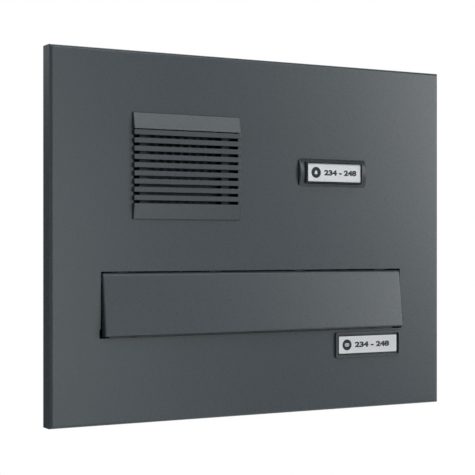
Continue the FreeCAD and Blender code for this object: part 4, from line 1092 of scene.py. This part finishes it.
@dataclass
class BellSprings:
    """Two coil springs round the guide posts of the button."""

    wire: float = 0.32 * MM
    wire_sides: int = 8
    turns: int = 6
    turn_steps: int = 24
    travel: float = 1.5 * MM

    def build(self, dresser: Dresser) -> None:
        """Wind both springs in place of the plain CAD ones.

        Args:
            dresser: Gives the pieces their finish.
        """
        low, high = corners("bell_springs")
        offset = (high.z - low.z) / 2
        coil = self.wind(offset - self.wire, high.y - low.y - 2 * self.wire)
        z = (low.z + high.z) / 2
        places = ((low.x + offset, low.y, z), (high.x - offset, low.y, z))
        springs = merge([twin(coil, place) for place in places], "bell_coil_springs")
        bpy.data.objects.remove(coil)
        dresser.fit(springs, "plate", "spring_steel")
        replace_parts(springs, "bell_springs")
        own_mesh(springs)

    def wind(self, radius: float, length: float) -> bpy.types.Object:
        """Wind one spring that starts at the origin and runs along +Y.

        Args:
            radius: Radius of the wire's middle line.
            length: Length between the middles of its ends.

        Returns:
            The spring.
        """
        deselect()
        bpy.ops.mesh.primitive_circle_add(vertices=self.wire_sides, radius=self.wire, fill_type="NGON",
                                          location=(radius, 0, 0), rotation=(math.pi / 2, 0, 0))
        coil = bpy.context.active_object
        settle(coil)
        apply_modifier(coil, "SCREW", axis="Z", angle=math.tau * self.turns, screw_offset=length,
                       steps=self.turn_steps * self.turns, use_merge_vertices=False)
        weld(coil)
        settle(coil, Plane.REAR.turn(), (0, self.wire, 0))
        return coil


@dataclass
class Fasteners:
    """Screws, nuts and rivets, each modelled once at the origin, pointing along +Z."""

    rim_share: float = 0.32
    socket_share: float = 0.52
    socket_floor_share: float = 0.42
    nut_rim_share: float = 0.14
    dome_share: float = 0.8

    def socket_head(self, radius: float, height: float) -> bpy.types.Object:
        """Round screw head with an eased rim and a hexagon socket, standing on the origin.

        Args:
            radius: Radius of the head.
            height: Its height.

        Returns:
            The head.
        """
        head = rod("head", radius, height, 40)
        chamfer(head, height * self.rim_share, 3)
        cutter = rod("socket", radius * self.socket_share, height, 6)
        settle(cutter, place=(0, 0, height * self.socket_floor_share))
        cut_out(head, cutter)
        return head

    def nut(self, across: float, height: float, bore: float) -> bpy.types.Object:
        """Hexagon nut with chamfered corners and an open bore.

        Args:
            across: Width across its flats.
            height: Its height.
            bore: Radius of the bore.

        Returns:
            The nut.
        """
        corner = across / math.sqrt(3)
        nut = rod("nut", corner, height, 6)
        chamfer(nut, corner * self.nut_rim_share, 2)
        cutter = rod("bore", bore, height * 3, 24)
        settle(cutter, place=(0, 0, -height))
        cut_out(nut, cutter)
        return nut

    def rivet(self, radius: float, height: float) -> bpy.types.Object:
        """Domed rivet head.

        Args:
            radius: Radius of the head.
            height: Its height.

        Returns:
            The head.
        """
        head = rod("rivet", radius, height, 24)
        chamfer(head, height * self.dome_share, 4)
        return head


@dataclass
class PlateFixings:
    """Nuts on the weld studs, and the screws that clamp the sleeve."""

    nut_height: float = 3.2 * MM
    nut_across: float = 7.0 * MM
    stud_radius: float = 2.03 * MM
    head_radius: float = 4.0 * MM
    head_height: float = 2.5 * MM
    shank_length: float = 4.5 * MM
    shank_radius: float = 2.0 * MM

    def build(self, dresser: Dresser, kit: Fasteners) -> None:
        """Make the nuts and the clamp screws.

        Args:
            dresser: Gives the pieces their finish.
            kit: Models one of each.
        """
        self.nuts(dresser, kit)
        self.clamp_screws(dresser, kit)

    def nuts(self, dresser: Dresser, kit: Fasteners) -> None:
        """One nut on each weld stud.

        Args:
            dresser: Gives the nuts their finish.
            kit: Models one nut.
        """
        nut = kit.nut(self.nut_across, self.nut_height, self.stud_radius)
        settle(nut, Plane.REAR.turn())
        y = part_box("stud_nuts")[0][1]
        copies = [twin(nut, (x, y, z)) for x, z in solid_middles("stud_nuts")]
        bpy.data.objects.remove(nut)
        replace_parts(dresser.fit(merge(copies, "flange_nuts"), "plate", "plated_fixings"), "stud_nuts")

    def clamp_screws(self, dresser: Dresser, kit: Fasteners) -> None:
        """Socket-head screws above and below the sleeve, each with its shank.

        Args:
            dresser: Gives the screws their finish.
            kit: Models one head.
        """
        low, high = corners("sleeve_clamp_screws")
        offset, y = high.x - self.head_radius, (low.y + high.y) / 2
        shank = rod("shank", self.shank_radius, self.shank_length, 24)
        head = kit.socket_head(self.head_radius, self.head_height)
        settle(head, place=(0, 0, -self.head_height))
        settle(shank, place=(0, 0, -self.head_height - self.shank_length))
        screw = merge([head, shank], "clamp_screw")
        flipped = twin(screw, (0, 0, 0))
        settle(flipped, Matrix.Rotation(math.pi, 4, "X"))
        copies = [twin(screw, (x, y, high.z)) for x in (-offset, offset)]
        copies += [twin(flipped, (x, y, low.z)) for x in (-offset, offset)]
        bpy.data.objects.remove(screw)
        bpy.data.objects.remove(flipped)
        screws = merge(copies, "clamp_socket_screws")
        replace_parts(dresser.fit(screws, "plate", "plated_fixings"), "sleeve_clamp_screws")


@dataclass
class RearDoorTrim:
    """Rivet heads on the leaves of the door's hinges."""

    rivet_radius: float = 1.7 * MM
    rivet_height: float = 0.7 * MM
    leaf: float = 1.2 * MM
    door_insets: Pair = (3.5 * MM, 10 * MM)
    frame_inset: float = 2.1 * MM
    end_inset: float = 5 * MM

    def build(self, dresser: Dresser, kit: Fasteners) -> None:
        """Rivet the hinge leaves.

        Args:
            dresser: Gives the pieces their finish.
            kit: Models one rivet.
        """
        rivet = kit.rivet(self.rivet_radius, self.rivet_height)
        settle(rivet, Plane.REAR.turn())
        moving, fixed = corners("door_hinges_moving"), corners("door_hinges_fixed")
        rows = {"door": ("rear_door", moving, [moving[1].x - inset for inset in self.door_insets]),
                "rear": ("rear_frame", fixed, [fixed[0].x + self.frame_inset])}
        for body, (panel, (low, high), across) in rows.items():
            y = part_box(panel)[1][1] + self.leaf
            up = (low.z + self.end_inset, high.z - self.end_inset)
            copies = [twin(rivet, (x, y, z)) for x in across for z in up]
            dresser.fit(merge(copies, f"{body}_hinge_rivets"), body, "plated_fixings")
        bpy.data.objects.remove(rivet)


@dataclass
class LockKey:
    """Flat key: a milled blade, a shoulder and a round bow with a ring hole."""

    bow_radius: float = 11.0 * MM
    ring_radius: float = 2.9 * MM
    thickness: float = 2.0 * MM
    edge: float = 0.22 * MM
    half: float = 3.2 * MM
    shoulder_run: float = 2.6 * MM
    plain_run: float = 3.0 * MM
    tip_cut: float = 0.6 * MM
    tip_top: float = 0.8 * MM
    cuts: tuple[float, ...] = (0.9 * MM, 1.7 * MM, 0.6 * MM, 1.4 * MM)

    def build(self, dresser: Dresser) -> None:
        """Make the key in place of the plain CAD one.

        Args:
            dresser: Gives the piece its finish.
        """
        low, high = corners("key")
        centre = (low + high) / 2
        bow_y = high.y - self.bow_radius - low.y
        shoulder = bow_y - math.sqrt(self.bow_radius ** 2 - (2 * self.half) ** 2)
        start = math.degrees(math.asin(2 * self.half / self.bow_radius))
        bow = arc((bow_y, 0), self.bow_radius, 180 + start, 540 - start, 56)
        neck = shoulder - self.shoulder_run
        outline = ([(self.tip_cut, -self.half), (neck, -self.half)] + bow + [(neck, self.half)]
                   + self.milled_edge(shoulder - self.plain_run))
        hole = arc((bow_y + self.bow_radius / 2, 0), self.ring_radius, 0, 348, 30)
        key = sheet_of("lock_key", [outline, hole], self.thickness, self.edge, Plane.SIDE,
                       (centre.x, low.y, centre.z))
        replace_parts(dresser.fit(key, "key", "key_nickel"), "key")

    def milled_edge(self, length: float) -> Outline:
        """Upper edge of the blade, from the shoulder to the tip.

        Args:
            length: Length of the milled part.

        Returns:
            The points.
        """
        step = length / (len(self.cuts) + 1)
        points = []
        for i, depth in enumerate(self.cuts):
            y = length - (i + 0.5) * step
            points += [(y + 0.42 * step, self.half), (y + 0.12 * step, self.half - depth),
                       (y - 0.12 * step, self.half - depth), (y - 0.42 * step, self.half)]
        return points + [(0, self.tip_top), (0, self.tip_cut - self.half)]


@dataclass(frozen=True)
class Lobe:
    """Soft patch of light: where its middle is and how wide it is, in degrees, and its strength."""

    azimuth: float
    height: float
    strength: float
    width: float = 2.5
    soft: float = 7.0

    def aim(self) -> Point:
        """Direction of its middle, with azimuth 0 along -Y and 90 along +X.

        Returns:
            The unit vector.
        """
        azimuth, height = math.radians(self.azimuth), math.radians(self.height)
        level = math.cos(height)
        return (math.sin(azimuth) * level, -math.cos(azimuth) * level, math.sin(height))


@dataclass
class Studio:
    """Plain pale floor, soft patches of light all round, and the camera."""

    lens: float = 99.546
    camera_place: Point = (-0.66024, -1.17487, -0.00777)
    yaw: float = 28.743
    shift: float = 0.01552
    floor_drop: float = 0.55
    floor_radius: float = 1.5
    floor_depth: float = 0.03
    floor_edge: float = 0.01
    surround: float = 0.04
    tint: Colour = (0.965, 0.995, 1.01)
    lobes: tuple[Lobe, ...] = (
        Lobe(14, -21, 3.5),
        Lobe(26, -21, 2.3),
        Lobe(20, -9, 1.7),
        Lobe(47, -9, 1.2),
        Lobe(14, 0, 4.0),
        Lobe(14, 9, 1.7),
        Lobe(47, 0, 7.0),
        Lobe(47, 9, 12.4),
        Lobe(39, 22, 3.4),
        Lobe(38, 14, 1.4, soft=6),
        Lobe(14, 32, 17.0),
        Lobe(32, 32, 3.6),
        Lobe(-22, 44, 2.6, 14, 16),
        Lobe(-50, 6, 0.5, 20, 22),
        Lobe(10, 68, 2.2, 8, 16),
        Lobe(-105, 6, 1.1, 10, 12),
        Lobe(-152, 24, 1.6, 7, 14),
        Lobe(-152, 0, 0.12, 8, 14),
        Lobe(140, 40, 2.4, 16, 22),
        Lobe(110, 10, 0.8, 16, 20),
        Lobe(165, -30, 0.8, 12, 20),
    )

    def build(self) -> None:
        """Make the floor, the light and the camera."""
        self.floor()
        self.light()
        self.camera()
        bpy.context.scene.view_settings.view_transform = "Standard"

    def floor(self) -> None:
        """Round pale floor with a rolled edge, well below the object."""
        slab = rod("studio_floor", self.floor_radius, self.floor_depth, 96)
        chamfer(slab, self.floor_edge, 3)
        settle(slab, place=(0, 0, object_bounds()[0][2] - self.floor_drop))
        graph = Graph("studio_floor")
        graph.feed("Base Color", graph.tones(graph.remap(graph.noise(5, 3), 0, 1), (1, 1, 1), 0.83, 0.87))
        graph.feed("Roughness", graph.remap(graph.noise(60, 3), 0.75, 0.85))
        slab.data.materials.append(graph.material)
        slab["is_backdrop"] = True
        LOG.info("%s is staged", slab.name)

    def light(self) -> None:
        """World light: a dim surround with soft patches of light, and white where the camera sees it."""
        world = bpy.data.worlds.new("studio")
        bpy.context.scene.world = world
        world.use_nodes = True
        tree = Tree(world.node_tree)
        heading = tree.node("ShaderNodeTexCoord", {}).outputs["Generated"]
        total = self.surround
        for lobe in self.lobes:
            dot = tree.node("ShaderNodeVectorMath", {0: heading, 1: lobe.aim()}, operation="DOT_PRODUCT")
            values = {"Value": dot.outputs["Value"], "To Max": lobe.strength,
                      "From Min": math.cos(math.radians(lobe.width + lobe.soft)),
                      "From Max": math.cos(math.radians(lobe.width))}
            patch = tree.node("ShaderNodeMapRange", values, interpolation_type="SMOOTHSTEP").outputs[0]
            total = tree.node("ShaderNodeMath", {0: patch, 1: total}, operation="ADD").outputs[0]
        soft = tree.node("ShaderNodeBackground", {"Color": (*self.tint, 1), "Strength": total}).outputs[0]
        white = tree.node("ShaderNodeBackground", {"Color": (1, 1, 1, 1)}).outputs[0]
        seen = tree.node("ShaderNodeLightPath", {}).outputs["Is Camera Ray"]
        surface = tree.node("ShaderNodeMixShader", {0: seen, 1: soft, 2: white}).outputs[0]
        tree.node("ShaderNodeOutputWorld", {"Surface": surface})

    def camera(self) -> None:
        """Long lens a little to the left of the front, level with the object."""
        data = bpy.data.cameras.new("camera")
        data.lens = self.lens
        data.shift_y = self.shift
        seat = bpy.data.objects.new("camera", data)
        bpy.context.collection.objects.link(seat)
        seat.location = self.camera_place
        seat.rotation_euler = (math.pi / 2, 0, -math.radians(self.yaw))
        bpy.context.scene.camera = seat


def main() -> None:
    """Dress the frame, add the fine pieces and set up the studio."""
    logging.basicConfig(level=logging.INFO, format="%(name)s: %(message)s")
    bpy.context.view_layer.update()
    dresser = Dresser()
    dresser.prepare()
    name_label = Label("nameplate_label", "plate", Sign.ENVELOPE, 44 * MM, NAME_CARD.slot, shade_border=0.7 * MM)
    for label in (Label("bell_label", "button", Sign.BELL, 40 * MM), name_label):
        label.build(dresser, Pictogram())
    BezelEnds().build(dresser)
    BellSprings().build(dresser)
    kit = Fasteners()
    PlateFixings().build(dresser, kit)
    RearDoorTrim().build(dresser, kit)
    LockKey().build(dresser)
    Studio().build()
    deselect()


if __name__ == "__main__":
    main()
